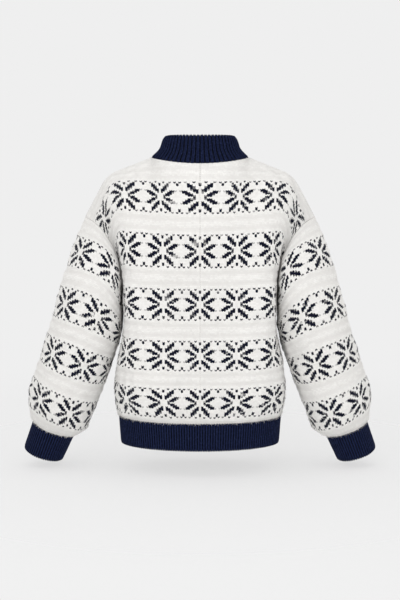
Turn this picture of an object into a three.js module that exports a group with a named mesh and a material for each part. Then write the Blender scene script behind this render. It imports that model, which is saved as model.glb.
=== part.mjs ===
// Christmas sweater: a boxy, drop-shoulder knitted pullover, filled out as if worn, with nobody in it.
// It has a one-piece front, a back in two halves, two full sleeves, ribbed cuffs, a ribbed hem band
// and a ribbed stand collar. Millimetres. +X is the wearer's left, -Y the front, +Z up. The origin is
// at the middle of the neck, level with the tops of the shoulders, where a body would carry it.
import * as THREE from "three";

// ---- Driving sizes ----------------------------------------------------------------------------
const WALL = 3; // thickness of the fleecy knit
const SEAM_GAP = 0.3; // clearance between two pieces at a seam

const PANEL_HALF = 266; // half the width of the body panels, around the cloth: 56 stitches
const HEM_SEAM_Z = -542;
const UNDERARM_Z = -262;
const ARMPIT_BACK_Z = -272; // the underarm's row at the centre back
const HEM_DEPTH = 56;

const NECK_HALF = 101; // half the width of the neckline
const NECK_PANEL = 100; // the part of the panel's half width that the neckline takes
const NECK = { back: { y: 62, z: -10 }, front: { y: -80, z: -42 } }; // middle of each neckline

const SHOULDER = { slope: 21, run: 74, bendRadius: 65, dropSlope: 62, dropRun: 76 }; // degrees and mm

// The body's rings, from the hem seam up to the underarm: half width, half depth and squareness, the
// exponent of a superellipse. The cloth blouses out above the rib, and the sleeves square it higher up.
const BODY_SECTIONS = [
  { z: -542, halfWidth: 171, depth: 110, squareness: 2.05 },
  { z: -518, halfWidth: 177, depth: 117, squareness: 2.3 },
  { z: -485, halfWidth: 180, depth: 122, squareness: 2.7 },
  { z: -424, halfWidth: 173, depth: 121, squareness: 3.2 },
  { z: -385, halfWidth: 164, depth: 119, squareness: 3.9 },
  { z: -345, halfWidth: 158, depth: 117, squareness: 5 },
  { z: -262, halfWidth: 158, depth: 116, squareness: 7 },
];
const HEM_BOTTOM = { z: HEM_SEAM_Z - HEM_DEPTH, halfWidth: 167, depth: 107, squareness: 2 };

// The wale of each panel that lies `across` from the middle is a curve from the underarm level to the
// shoulder or neckline. low and high are the handles that carry it up the back and over the shoulder.
const BACK_WALES = [
  { across: 0, low: [0, 118, -165], high: [0, 98, -52] },
  { across: 50, low: [50, 118, -165], high: [54, 94, -44] },
  { across: 100, low: [98, 117, -160], high: [104, 82, -18] },
  { across: 150, low: [146, 112, -150], high: [154, 86, -36] },
  { across: 190, low: [160, 88, -165], high: [190, 90, -70] },
  { across: 230, low: [157, 80, -187], high: [202, 95, -106] },
  { across: 266, low: [158, 86, -212], high: [188, 100, -132] },
];
const FRONT_WALES = [
  { across: 0, low: [0, -122, -165], high: [0, -104, -70] },
  { across: 50, low: [50, -121, -165], high: [56, -104, -62] },
  { across: 100, low: [98, -118, -160], high: [104, -84, -18] },
  { across: 150, low: [146, -112, -150], high: [154, -86, -36] },
  { across: 190, low: [160, -88, -165], high: [190, -90, -70] },
  { across: 230, low: [157, -80, -187], high: [202, -95, -106] },
  { across: 266, low: [158, -86, -212], high: [188, -100, -132] },
];

// Sections of the left sleeve, by the row counted from the armhole. The ring's long axis is turned
// up by tilt on its outer side, its back leans down by lean, and lift raises its front and back.
const SLEEVE_SECTIONS = [
  { row: 0, x: 199, y: 0, z: -194, halfWidth: 79, halfDepth: 76, tilt: 59, lean: 0, lift: 35 },
  { row: 20, x: 212, y: 0, z: -243, halfWidth: 79, halfDepth: 89, tilt: 48, lean: 0, lift: 42 },
  { row: 54, x: 230, y: 0, z: -331, halfWidth: 78, halfDepth: 88, tilt: 27, lean: 0, lift: 20 },
  { row: 88, x: 260, y: -3, z: -421, halfWidth: 74, halfDepth: 78, tilt: 20, lean: 4, lift: 4 },
  { row: 122, x: 296, y: -10, z: -519, halfWidth: 71, halfDepth: 73, tilt: 24, lean: 8, lift: 0 },
  { row: 130, x: 301, y: -13, z: -546, halfWidth: 66, halfDepth: 67, tilt: 23, lean: 8, lift: 0 },
  { row: 134, x: 306, y: -15, z: -559, halfWidth: 58, halfDepth: 59, tilt: 21, lean: 8, lift: 0 },
  { row: 137, x: 311, y: -16, z: -571, halfWidth: 46, halfDepth: 46, tilt: 19, lean: 8, lift: 0 },
];
const CUFF_BOTTOM = { x: 334, y: -24, z: -627, halfWidth: 43, halfDepth: 42, tilt: 17, lean: 10, lift: 0 };
const BLEND_ROWS = 24; // rows over which the armhole's own outline melts into the sleeve's sections
const PRESS_GAP = 2.5; // clearance where a sleeve presses on the side of the body
const PRESS_SOFTNESS = 5;

// The collar's sections: how far in from the neckline it stands at each height, and its lean.
const COLLAR_SECTIONS = [
  { up: 0, halfWidth: 101, back: 62, front: 80 },
  { up: 0.42, halfWidth: 84, back: 55, front: 68 },
  { up: 1, halfWidth: 77, back: 52, front: 62 },
];
const COLLAR_TOP_Z = { back: 46, front: 26 };

// ---- Number of faces --------------------------------------------------------------------------
const NECK_COLUMNS = 8;
const SHOULDER_COLUMNS = 8;
const QUARTER = NECK_COLUMNS + SHOULDER_COLUMNS;
const LOWER_ROWS = 6;
const UPPER_ROWS = 12; // above the underarm; the sleeve has twice as many columns around
const SLEEVE_RINGS = [0, 4, 10, 18, 28, 40, 54, 71, 88, 105, 118, 126, 131, 135, 137];
const CURVE_SAMPLES = 48; // points used to measure a curve's length

// ---- Colours ----------------------------------------------------------------------------------
const KNIT = { color: 0xecebe8, roughness: 0.95, metalness: 0 };
const RIB = { color: 0x1b2146, roughness: 0.9, metalness: 0 };

// ---- Curves and tables ------------------------------------------------------------------------
const radians = (degrees) => (degrees * Math.PI) / 180;
const mix = (a, b, t) => a + (b - a) * t;

// Cubic through four values, with the tangents of a Catmull-Rom curve over uneven steps.
function hermite(rows, key, field, at) {
  let i = 0;
  while (i < rows.length - 2 && at > rows[i + 1][key]) i += 1;
  const value = (n) => (Array.isArray(field) ? rows[n][field[0]][field[1]] : rows[n][field]);
  const place = (n) => rows[n][key];
  const slope = (n) => {
    const before = Math.max(n - 1, 0);
    const after = Math.min(n + 1, rows.length - 1);
    return (value(after) - value(before)) / (place(after) - place(before));
  };
  const span = place(i + 1) - place(i);
  const t = Math.min(Math.max((at - place(i)) / span, 0), 1);
  const t2 = t * t;
  const t3 = t2 * t;
  return (
    (2 * t3 - 3 * t2 + 1) * value(i) +
    (t3 - 2 * t2 + t) * span * slope(i) +
    (3 * t2 - 2 * t3) * value(i + 1) +
    (t3 - t2) * span * slope(i + 1)
  );
}

// The point at a share of a curve's length.
function atLength(points, share) {
  const lengths = [0];
  for (let i = 1; i < points.length; i += 1) {
    lengths.push(lengths[i - 1] + points[i].distanceTo(points[i - 1]));
  }
  const target = share * lengths[lengths.length - 1];
  let i = 1;
  while (i < points.length - 1 && lengths[i] < target) i += 1;
  const t = (target - lengths[i - 1]) / (lengths[i] - lengths[i - 1]);
  return points[i - 1].clone().lerp(points[i], t);
}

// ---- Body -------------------------------------------------------------------------------------
// A quarter of a superellipse, from the middle of the back (side 1) or front (side -1) round to the
// side seam, at a share of its length.
function sectionPoint(share, section, side) {
  const { halfWidth, squareness, depth, z } = section;
  const outline = [];
  for (let i = 0; i <= CURVE_SAMPLES; i += 1) {
    const angle = (Math.PI / 2) * (i / CURVE_SAMPLES);
    const x = halfWidth * Math.abs(Math.sin(angle)) ** (2 / squareness);
    const y = depth * Math.abs(Math.cos(angle)) ** (2 / squareness);
    outline.push(new THREE.Vector3(x, i === CURVE_SAMPLES ? 0 : side * y, z));
  }
  return atLength(outline, share);
}

function bodySection(z) {
  return {
    z,
    halfWidth: hermite(BODY_SECTIONS, "z", "halfWidth", z),
    depth: hermite(BODY_SECTIONS, "z", "depth", z),
    squareness: hermite(BODY_SECTIONS, "z", "squareness", z),
  };
}

// Below the underarm the rows are rings, which dip a little towards the middle of each panel.
function lowerPoint(across, share, side) {
  const top = mix(ARMPIT_BACK_Z, UNDERARM_Z, (across / PANEL_HALF) ** 2);
  const z = mix(HEM_SEAM_Z, top, share);
  return sectionPoint(across / PANEL_HALF, bodySection(z), side);
}

// The line of the shoulder, from the neck out and down to the tip, at a distance along it.
function shoulderPoint(distance) {
  const { slope, run, bendRadius, dropSlope } = SHOULDER;
  const start = radians(slope);
  const end = radians(dropSlope);
  const bend = bendRadius * (end - start);
  const straight = Math.min(distance, run);
  const turned = start + Math.min(Math.max(distance - run, 0), bend) / bendRadius;
  const dropped = Math.max(distance - run - bend, 0);
  return new THREE.Vector3(
    NECK_HALF + straight * Math.cos(start) + bendRadius * (Math.sin(turned) - Math.sin(start))
      + dropped * Math.cos(end),
    0,
    -straight * Math.sin(start) - bendRadius * (Math.cos(start) - Math.cos(turned))
      - dropped * Math.sin(end),
  );
}

const SHOULDER_LENGTH = SHOULDER.run + SHOULDER.dropRun
  + SHOULDER.bendRadius * radians(SHOULDER.dropSlope - SHOULDER.slope);

// The neckline: half an ellipse at the back or front, dipping towards its middle.
function necklinePoint(share, side) {
  const middle = side > 0 ? NECK.back : NECK.front;
  const angle = (share * Math.PI) / 2;
  const dip = Math.cos(angle) ** 2;
  return new THREE.Vector3(NECK_HALF * Math.sin(angle), middle.y * Math.cos(angle), middle.z * dip);
}

function topPoint(across, side) {
  if (across <= NECK_PANEL) return necklinePoint(across / NECK_PANEL, side);
  return shoulderPoint((SHOULDER_LENGTH * (across - NECK_PANEL)) / (PANEL_HALF - NECK_PANEL));
}

// Above the underarm each wale is a curve up the panel and over the shoulder.
function upperPoint(across, share, side) {
  const wales = side > 0 ? BACK_WALES : FRONT_WALES;
  const handle = (end) => new THREE.Vector3(
    ...[0, 1, 2].map((axis) => hermite(wales, "across", [end, axis], across)),
  );
  const curve = new THREE.CubicBezierCurve3(
    lowerPoint(across, 1, side), handle("low"), handle("high"), topPoint(across, side),
  );
  return atLength(curve.getPoints(CURVE_SAMPLES), share);
}

// ---- Sleeves ----------------------------------------------------------------------------------
// The armhole seam, as a share of its length: from the underarm round the back, over the shoulder
// and down the front.
function armholePoint(share) {
  const side = share <= 0.5 ? 1 : -1;
  return upperPoint(PANEL_HALF, 1 - Math.abs(2 * share - 1), side);
}

function ringPoint(section, angle) {
  const tilt = radians(section.tilt);
  const lean = radians(section.lean);
  const out = section.halfWidth * Math.cos(angle);
  const back = section.halfDepth * Math.sin(angle);
  const up = section.lift * Math.sin(angle) ** 2;
  return new THREE.Vector3(
    section.x + out * Math.cos(tilt) - up * Math.sin(tilt),
    section.y + back * Math.cos(lean),
    section.z + out * Math.sin(tilt) + up * Math.cos(tilt) - back * Math.sin(lean),
  );
}

function sleeveSection(row) {
  const fields = ["x", "y", "z", "halfWidth", "halfDepth", "tilt", "lean", "lift"];
  const values = fields.map((field) => [field, hermite(SLEEVE_SECTIONS, "row", field, row)]);
  return Object.fromEntries(values);
}

// Cloth that would reach into the side of the body is pressed out until it just clears it.
function pressedOut(point) {
  const z = Math.min(Math.max(point.z, HEM_SEAM_Z), UNDERARM_Z);
  const side = bodySection(z).halfWidth + PRESS_GAP;
  const reach = (point.x - side) / PRESS_SOFTNESS;
  point.x = side + PRESS_SOFTNESS * Math.log1p(Math.exp(Math.min(reach, 30)))
    + Math.max(reach - 30, 0) * PRESS_SOFTNESS;
  return point;
}

// One ring of the sleeve, cut into equal steps from the underarm round the back.
function sleeveRing(row, columns) {
  const steps = [...Array(columns).keys()];
  if (row === 0) return steps.map((i) => armholePoint(i / columns));
  const section = sleeveSection(row);
  const root = sleeveSection(0);
  const blend = Math.max(1 - row / BLEND_ROWS, 0) ** 2;
  const outline = [];
  for (let i = 0; i <= 2 * CURVE_SAMPLES; i += 1) {
    const share = i / (2 * CURVE_SAMPLES);
    const angle = Math.PI * (1 - 2 * share);
    const own = armholePoint(share).sub(ringPoint(root, angle)).multiplyScalar(blend);
    outline.push(pressedOut(ringPoint(section, angle).add(own)));
  }
  return steps.map((i) => atLength(outline, i / columns));
}

function cuffRing(section, columns) {
  const angle = (i) => Math.PI * (1 - (2 * i) / columns);
  return [...Array(columns).keys()].map((i) => ringPoint(section, angle(i)));
}

// ---- Collar -----------------------------------------------------------------------------------
function collarPoint(turn, up) {
  const angle = 2 * Math.PI * turn; // from the middle of the back, towards the wearer's left
  const back = Math.cos(angle) >= 0;
  const halfWidth = hermite(COLLAR_SECTIONS, "up", "halfWidth", up);
  const halfDepth = hermite(COLLAR_SECTIONS, "up", back ? "back" : "front", up);
  const neck = back ? NECK.back : NECK.front;
  const base = neck.z * Math.cos(angle) ** 2;
  const middle = (COLLAR_TOP_Z.back + COLLAR_TOP_Z.front) / 2;
  const top = middle + ((COLLAR_TOP_Z.back - COLLAR_TOP_Z.front) / 2) * Math.cos(angle);
  return new THREE.Vector3(
    halfWidth * Math.sin(angle), halfDepth * Math.cos(angle), mix(base, top, up),
  );
}

// ---- Shells -----------------------------------------------------------------------------------
// A piece of cloth is a grid of outer points. Around marks a tube, whose last column joins its first.
function grid(name, material, around, rows) {
  return { name, material, around, rows };
}

const key = (point) => point.toArray().map((value) => Math.round(value * 50)).join(",");

// The outward direction at each point of a grid, from its neighbours.
function gridNormals({ rows, around }) {
  const columns = rows[0].length;
  const wrap = (i) => (around ? (i + columns) % columns : Math.min(Math.max(i, 0), columns - 1));
  return rows.map((row, j) => row.map((_, i) => {
    const up = rows[Math.min(j + 1, rows.length - 1)][i].clone();
    up.sub(rows[Math.max(j - 1, 0)][i]);
    const across = row[wrap(i + 1)].clone().sub(row[wrap(i - 1)]);
    return across.cross(up).normalize();
  }));
}

// Pieces that meet at a seam share its mitre, so that their inner faces meet too. Panels and tubes
// are summed apart, because two panels can meet one tube.
function addMitres(grids) {
  const sums = { panel: new Map(), tube: new Map() };
  for (const piece of grids) {
    const shared = piece.around ? sums.tube : sums.panel;
    piece.normals = gridNormals(piece);
    piece.rows.forEach((row, j) => row.forEach((point, i) => {
      const sum = shared.get(key(point)) ?? new THREE.Vector3();
      shared.set(key(point), sum.add(piece.normals[j][i]));
    }));
  }
  const direction = (shared, point) => (shared.get(key(point)) ?? new THREE.Vector3()).clone().normalize();
  const mitre = (point) => direction(sums.panel, point).add(direction(sums.tube, point)).normalize();
  for (const piece of grids) {
    piece.normals = piece.rows.map((row) => row.map(mitre));
  }
}

// Moves the edge of a piece in by half the clearance of a seam.
function trimmed({ rows, around }) {
  const step = SEAM_GAP / 2;
  const last = rows.length - 1;
  const end = rows[0].length - 1;
  return rows.map((row, j) => row.map((point, i) => {
    const moved = point.clone();
    const towards = (other) => moved.add(other.clone().sub(point).setLength(step));
    if (j === 0) towards(rows[1][i]);
    if (j === last) towards(rows[last - 1][i]);
    if (!around && i === 0) towards(row[1]);
    if (!around && i === end) towards(row[end - 1]);
    return moved;
  }));
}

function shell(piece) {
  const outer = trimmed(piece);
  const inner = outer.map((row, j) => row.map((point, i) => (
    point.clone().addScaledVector(piece.normals[j][i], -WALL)
  )));
  const columns = outer[0].length;
  const rowCount = outer.length;
  const spans = piece.around ? columns : columns - 1;
  const id = (layer, j, i) => layer * rowCount * columns + j * columns + (i % columns);
  const faces = [];
  const points = [...outer, ...inner].flat();
  // Each four-sided face is split along its shorter diagonal, so that both sides of a seam agree.
  const quad = (a, b, c, d) => {
    const straight = points[a].distanceTo(points[c]) <= points[b].distanceTo(points[d]);
    faces.push(...(straight ? [a, b, c, a, c, d] : [a, b, d, b, c, d]));
  };
  for (let j = 0; j < rowCount - 1; j += 1) {
    for (let i = 0; i < spans; i += 1) {
      quad(id(0, j, i), id(0, j, i + 1), id(0, j + 1, i + 1), id(0, j + 1, i));
      quad(id(1, j, i), id(1, j + 1, i), id(1, j + 1, i + 1), id(1, j, i + 1));
    }
  }
  const top = rowCount - 1;
  for (let i = 0; i < spans; i += 1) {
    quad(id(1, 0, i), id(1, 0, i + 1), id(0, 0, i + 1), id(0, 0, i));
    quad(id(0, top, i), id(0, top, i + 1), id(1, top, i + 1), id(1, top, i));
  }
  if (!piece.around) {
    for (let j = 0; j < top; j += 1) {
      quad(id(0, j, 0), id(0, j + 1, 0), id(1, j + 1, 0), id(1, j, 0));
      quad(id(1, j, spans), id(1, j + 1, spans), id(0, j + 1, spans), id(0, j, spans));
    }
  }
  const geometry = new THREE.BufferGeometry();
  const positions = points.flatMap((point) => point.toArray());
  geometry.setAttribute("position", new THREE.Float32BufferAttribute(positions, 3));
  geometry.setIndex(faces);
  geometry.computeVertexNormals();
  const mesh = new THREE.Mesh(geometry, new THREE.MeshStandardMaterial(piece.material));
  mesh.name = piece.name;
  return mesh;
}

// The same grid on the wearer's other side: mirrored, and read the other way so it still faces out.
function mirrored(name, piece) {
  const flip = (point) => new THREE.Vector3(-point.x, point.y, point.z);
  const rows = piece.rows.map((row) => (
    piece.around ? [row[0], ...row.slice(1).reverse()].map(flip) : [...row].reverse().map(flip)
  ));
  return grid(name, piece.material, piece.around, rows);
}

// ---- Pieces -----------------------------------------------------------------------------------
const acrossSteps = [];
for (let i = 0; i <= QUARTER; i += 1) {
  const shoulder = (i - NECK_COLUMNS) / SHOULDER_COLUMNS;
  acrossSteps.push(i <= NECK_COLUMNS
    ? (NECK_PANEL * i) / NECK_COLUMNS
    : mix(NECK_PANEL, PANEL_HALF, shoulder));
}

// Half a panel, from its middle to the side, with the hem first. Facing out, columns run to +X on
// the front, so the back is read from the side to the middle.
function halfPanel(side) {
  const rows = [];
  for (let j = 0; j <= LOWER_ROWS; j += 1) {
    rows.push(acrossSteps.map((across) => lowerPoint(across, j / LOWER_ROWS, side)));
  }
  for (let j = 1; j <= UPPER_ROWS; j += 1) {
    rows.push(acrossSteps.map((across) => upperPoint(across, j / UPPER_ROWS, side)));
  }
  return rows;
}

const flipX = (point) => new THREE.Vector3(-point.x, point.y, point.z);
const frontRows = halfPanel(-1).map((row) => [...row.slice(1).reverse().map(flipX), ...row]);
const backRows = halfPanel(1).map((row) => [...row].reverse());

const front = grid("front", KNIT, false, frontRows);
const backLeft = grid("back_left", KNIT, false, backRows);
const backRight = mirrored("back_right", backLeft);

const AROUND_SLEEVE = 2 * UPPER_ROWS;
const readUp = (rings) => rings.reverse();
const sleeveRings = SLEEVE_RINGS.map((row) => sleeveRing(row, AROUND_SLEEVE));
const cuffRings = [sleeveRings[sleeveRings.length - 1], cuffRing(CUFF_BOTTOM, AROUND_SLEEVE)];
const turned = (ring) => [ring[0], ...ring.slice(1).reverse()];
const sleeveLeft = grid("sleeve_left", KNIT, true, readUp(sleeveRings.map(turned)));
const cuffLeft = grid("cuff_left", RIB, true, readUp(cuffRings.map(turned)));

// A ring right round the body: front from the middle to the left, back to the right, and home.
function bodyRing(pointAt) {
  const ring = [];
  for (let i = 0; i < QUARTER; i += 1) ring.push(pointAt(acrossSteps[i], -1));
  for (let i = QUARTER; i > 0; i -= 1) ring.push(pointAt(acrossSteps[i], 1));
  for (let i = 0; i < QUARTER; i += 1) ring.push(flipX(pointAt(acrossSteps[i], 1)));
  for (let i = QUARTER; i > 0; i -= 1) ring.push(flipX(pointAt(acrossSteps[i], -1)));
  return ring;
}

const hemBand = grid("hem_band", RIB, true, [
  bodyRing((across, side) => sectionPoint(across / PANEL_HALF, HEM_BOTTOM, side)),
  bodyRing((across, side) => lowerPoint(across, 0, side)),
]);

const AROUND_COLLAR = 4 * NECK_COLUMNS;
const collarRows = COLLAR_SECTIONS.map(({ up }) => (
  [...Array(AROUND_COLLAR).keys()].map((i) => collarPoint(0.5 - i / AROUND_COLLAR, up))
));
const collar = grid("collar", RIB, true, collarRows);

const grids = [
  front, backLeft, backRight,
  sleeveLeft, mirrored("sleeve_right", sleeveLeft),
  cuffLeft, mirrored("cuff_right", cuffLeft),
  hemBand, collar,
];
addMitres(grids);

const sweater = new THREE.Group();
grids.forEach((piece) => sweater.add(shell(piece)));

export default sweater;
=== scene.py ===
"""A knitted Christmas pullover in Blender, filled out as if worn, with nobody in it.

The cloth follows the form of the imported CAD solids: a one-piece front, a back in two halves joined
by a centre seam, two full sleeves, ribbed cuffs, a ribbed hem band and a ribbed stand collar. Each
knit piece is a grid of real stitches, whose row lines zigzag as plain knitting does, and each
stitch is worked in white or navy yarn from one small chart of an eight-pointed star.

Lengths are in millimetres up to the moment a mesh is written, in metres. +X is the wearer's left,
-Y the front, +Z up, and the origin is the middle of the neck. A place on a knit piece is given as
`column`, counted in stitches, and `row`, counted in rows of knitting.
"""

import logging
import math
from collections.abc import Sequence
from dataclasses import astuple, dataclass, field
from enum import Enum

import bpy
import numpy as np
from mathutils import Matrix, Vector


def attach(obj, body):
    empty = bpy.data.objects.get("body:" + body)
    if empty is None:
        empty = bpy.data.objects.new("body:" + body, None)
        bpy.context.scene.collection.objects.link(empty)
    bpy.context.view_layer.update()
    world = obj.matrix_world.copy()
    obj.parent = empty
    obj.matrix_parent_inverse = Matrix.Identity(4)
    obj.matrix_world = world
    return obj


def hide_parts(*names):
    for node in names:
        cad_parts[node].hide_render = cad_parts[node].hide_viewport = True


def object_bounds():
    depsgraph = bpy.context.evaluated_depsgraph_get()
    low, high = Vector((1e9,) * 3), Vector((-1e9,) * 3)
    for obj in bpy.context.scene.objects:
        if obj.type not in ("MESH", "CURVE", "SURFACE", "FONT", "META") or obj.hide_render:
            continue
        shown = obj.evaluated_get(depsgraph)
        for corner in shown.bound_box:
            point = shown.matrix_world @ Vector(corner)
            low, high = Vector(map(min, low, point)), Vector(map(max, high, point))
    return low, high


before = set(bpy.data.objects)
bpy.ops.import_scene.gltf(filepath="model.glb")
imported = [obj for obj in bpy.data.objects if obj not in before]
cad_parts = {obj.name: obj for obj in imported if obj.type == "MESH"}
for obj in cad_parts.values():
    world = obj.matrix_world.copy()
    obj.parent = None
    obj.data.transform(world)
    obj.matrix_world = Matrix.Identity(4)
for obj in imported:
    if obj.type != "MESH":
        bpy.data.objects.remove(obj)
CAD_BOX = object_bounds()

LOG = logging.getLogger("sweater")
MM = 0.001  # one millimetre in metres
BODY = "root"

Array = np.ndarray


# ---- Small maths --------------------------------------------------------------------------------
def mix(a: Array, b: Array, share: Array) -> Array:
    """Goes from a to b as share goes from 0 to 1."""
    return a + (b - a) * share


def ease(value: Array, start: float, end: float) -> Array:
    """A smooth step from 0 at start to 1 at end."""
    share = np.clip((np.asarray(value, float) - start) / (end - start), 0, 1)
    return share * share * (3 - 2 * share)


def columns_of(rows: Sequence[object]) -> Array:
    """The rows of a table of dataclasses as an array, a column for each field."""
    return np.array([astuple(row) for row in rows], float)


def smooth_table(table: Array, at: Array) -> Array:
    """Reads a table between its rows, on a smooth curve through them.

    Args:
        table: Rows in rising order of their first column.
        at: Values of the first column to read the others at.

    Returns:
        The other columns at each value, one row for each.
    """
    place, value = table[:, 0], table[:, 1:]
    steps = np.arange(len(place))
    before, after = np.maximum(steps - 1, 0), np.minimum(steps + 1, len(place) - 1)
    slope = (value[after] - value[before]) / (place[after] - place[before])[:, None]
    i = np.clip(np.searchsorted(place, at) - 1, 0, len(place) - 2)
    span = (place[i + 1] - place[i])[:, None]
    t = np.clip((np.asarray(at) - place[i])[:, None] / span, 0, 1)
    t2, t3 = t**2, t**3
    return (
        (2 * t3 - 3 * t2 + 1) * value[i]
        + (t3 - 2 * t2 + t) * span * slope[i]
        + (3 * t2 - 2 * t3) * value[i + 1]
        + (t3 - t2) * span * slope[i + 1]
    )


def lengths_along(points: Array) -> Array:
    """The distance run at each point of a line, or of many lines whose points are on axis 0."""
    steps = np.linalg.norm(np.diff(points, axis=0), axis=-1)
    return np.concatenate([np.zeros((1, *steps.shape[1:])), np.cumsum(steps, axis=0)])


def resample(points: Array, shares: Array) -> Array:
    """The points at given shares of a line's length."""
    run = lengths_along(points)
    return np.stack([np.interp(shares * run[-1], run, axis) for axis in points.T], axis=-1)


def slide(grid: Array, places: Array) -> Array:
    """Reads each row of a grid at places between its columns.

    Args:
        grid: Values by row and column, and by anything else after them.
        places: Column numbers by row, not always whole.

    Returns:
        Values by row and place.
    """
    low = np.clip(places.astype(int), 0, grid.shape[1] - 2)
    row = np.arange(len(grid))[:, None]
    share = (places - low).reshape(*places.shape, *[1] * (grid.ndim - 2))
    return mix(grid[row, low], grid[row, low + 1], share)


def grid_normals(points: Array, around: bool) -> Array:
    """The direction square to a grid of points at each of them.

    Args:
        points: Points by row and column, with x, y and z last.
        around: Whether the last column stands on the first.

    Returns:
        Unit vectors, turned by the order of the rows and columns.
    """
    up = np.gradient(points, axis=0)
    if around:
        wide = np.concatenate([points[:, -2:-1], points, points[:, 1:2]], axis=1)
        across = (wide[:, 2:] - wide[:, :-2]) / 2
    else:
        across = np.gradient(points, axis=1)
    square = np.cross(across, up)
    return square / np.maximum(np.linalg.norm(square, axis=-1, keepdims=True), 1e-9)


# ---- The garment's form ---------------------------------------------------------------------------
class Side(Enum):
    """The side of the garment that a wearer turns to you."""

    BACK = 1
    FRONT = -1


@dataclass(frozen=True)
class BodySection:
    """A level of the body: a superellipse with its half width, half depth and exponent."""

    z: float
    half_width: float
    depth: float
    squareness: float


@dataclass(frozen=True)
class Wale:
    """The two handles that carry a line of stitches up the back and over the shoulder."""

    across: float
    low_x: float
    low_y: float
    low_z: float
    high_x: float
    high_y: float
    high_z: float


@dataclass(frozen=True)
class SleeveSection:
    """A ring of the left sleeve, at a row counted from the armhole."""

    row: float
    x: float
    y: float
    z: float
    half_width: float
    half_depth: float
    tilt: float
    lean: float
    lift: float


BODY_SECTIONS = (
    BodySection(z=-542, half_width=171, depth=110, squareness=2.05),
    BodySection(z=-518, half_width=177, depth=117, squareness=2.3),
    BodySection(z=-485, half_width=180, depth=122, squareness=2.7),
    BodySection(z=-424, half_width=173, depth=121, squareness=3.2),
    BodySection(z=-385, half_width=164, depth=119, squareness=3.9),
    BodySection(z=-345, half_width=158, depth=117, squareness=5),
    BodySection(z=-262, half_width=158, depth=116, squareness=7),
)

BACK_WALES = (
    Wale(0, 0, 118, -165, 0, 98, -52),
    Wale(50, 50, 118, -165, 54, 94, -44),
    Wale(100, 98, 117, -160, 104, 82, -18),
    Wale(150, 146, 112, -150, 154, 86, -36),
    Wale(190, 160, 88, -165, 190, 90, -70),
    Wale(230, 157, 80, -187, 202, 95, -106),
    Wale(266, 158, 86, -212, 188, 100, -132),
)

FRONT_WALES = (
    Wale(0, 0, -122, -165, 0, -104, -70),
    Wale(50, 50, -121, -165, 56, -104, -62),
    Wale(100, 98, -118, -160, 104, -84, -18),
    Wale(150, 146, -112, -150, 154, -86, -36),
    Wale(190, 160, -88, -165, 190, -90, -70),
    Wale(230, 157, -80, -187, 202, -95, -106),
    Wale(266, 158, -86, -212, 188, -100, -132),
)

SLEEVE_SECTIONS = (
    SleeveSection(0, 199, 0, -194, 79, 76, tilt=59, lean=0, lift=35),
    SleeveSection(20, 212, 0, -243, 79, 89, tilt=48, lean=0, lift=42),
    SleeveSection(54, 230, 0, -331, 78, 88, tilt=27, lean=0, lift=20),
    SleeveSection(88, 260, -3, -421, 74, 78, tilt=20, lean=4, lift=4),
    SleeveSection(122, 296, -10, -519, 71, 73, tilt=24, lean=8, lift=0),
    SleeveSection(130, 301, -13, -546, 66, 67, tilt=23, lean=8, lift=0),
    SleeveSection(134, 306, -15, -559, 58, 59, tilt=21, lean=8, lift=0),
    SleeveSection(137, 311, -16, -571, 46, 46, tilt=19, lean=8, lift=0),
)
CUFF_BOTTOM = SleeveSection(0, 334, -24, -627, 43, 42, tilt=17, lean=10, lift=0)


@dataclass(frozen=True)
class Shoulder:
    """The line of the shoulder, straight from the neck, round a bend and down to the tip."""

    slope: float = 21
    run: float = 74
    bend_radius: float = 65
    drop_slope: float = 62
    drop_run: float = 76


@dataclass(frozen=True)
class Neckline:
    """The neckline: half an ellipse at the back and another at the front, dipping in the middle."""

    half_width: float = 101
    back_y: float = 62
    back_z: float = -10
    front_y: float = -80
    front_z: float = -42

    def middle(self, side: Side) -> tuple[float, float]:
        """The depth and height of the middle of one half."""
        return (self.back_y, self.back_z) if side is Side.BACK else (self.front_y, self.front_z)


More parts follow.
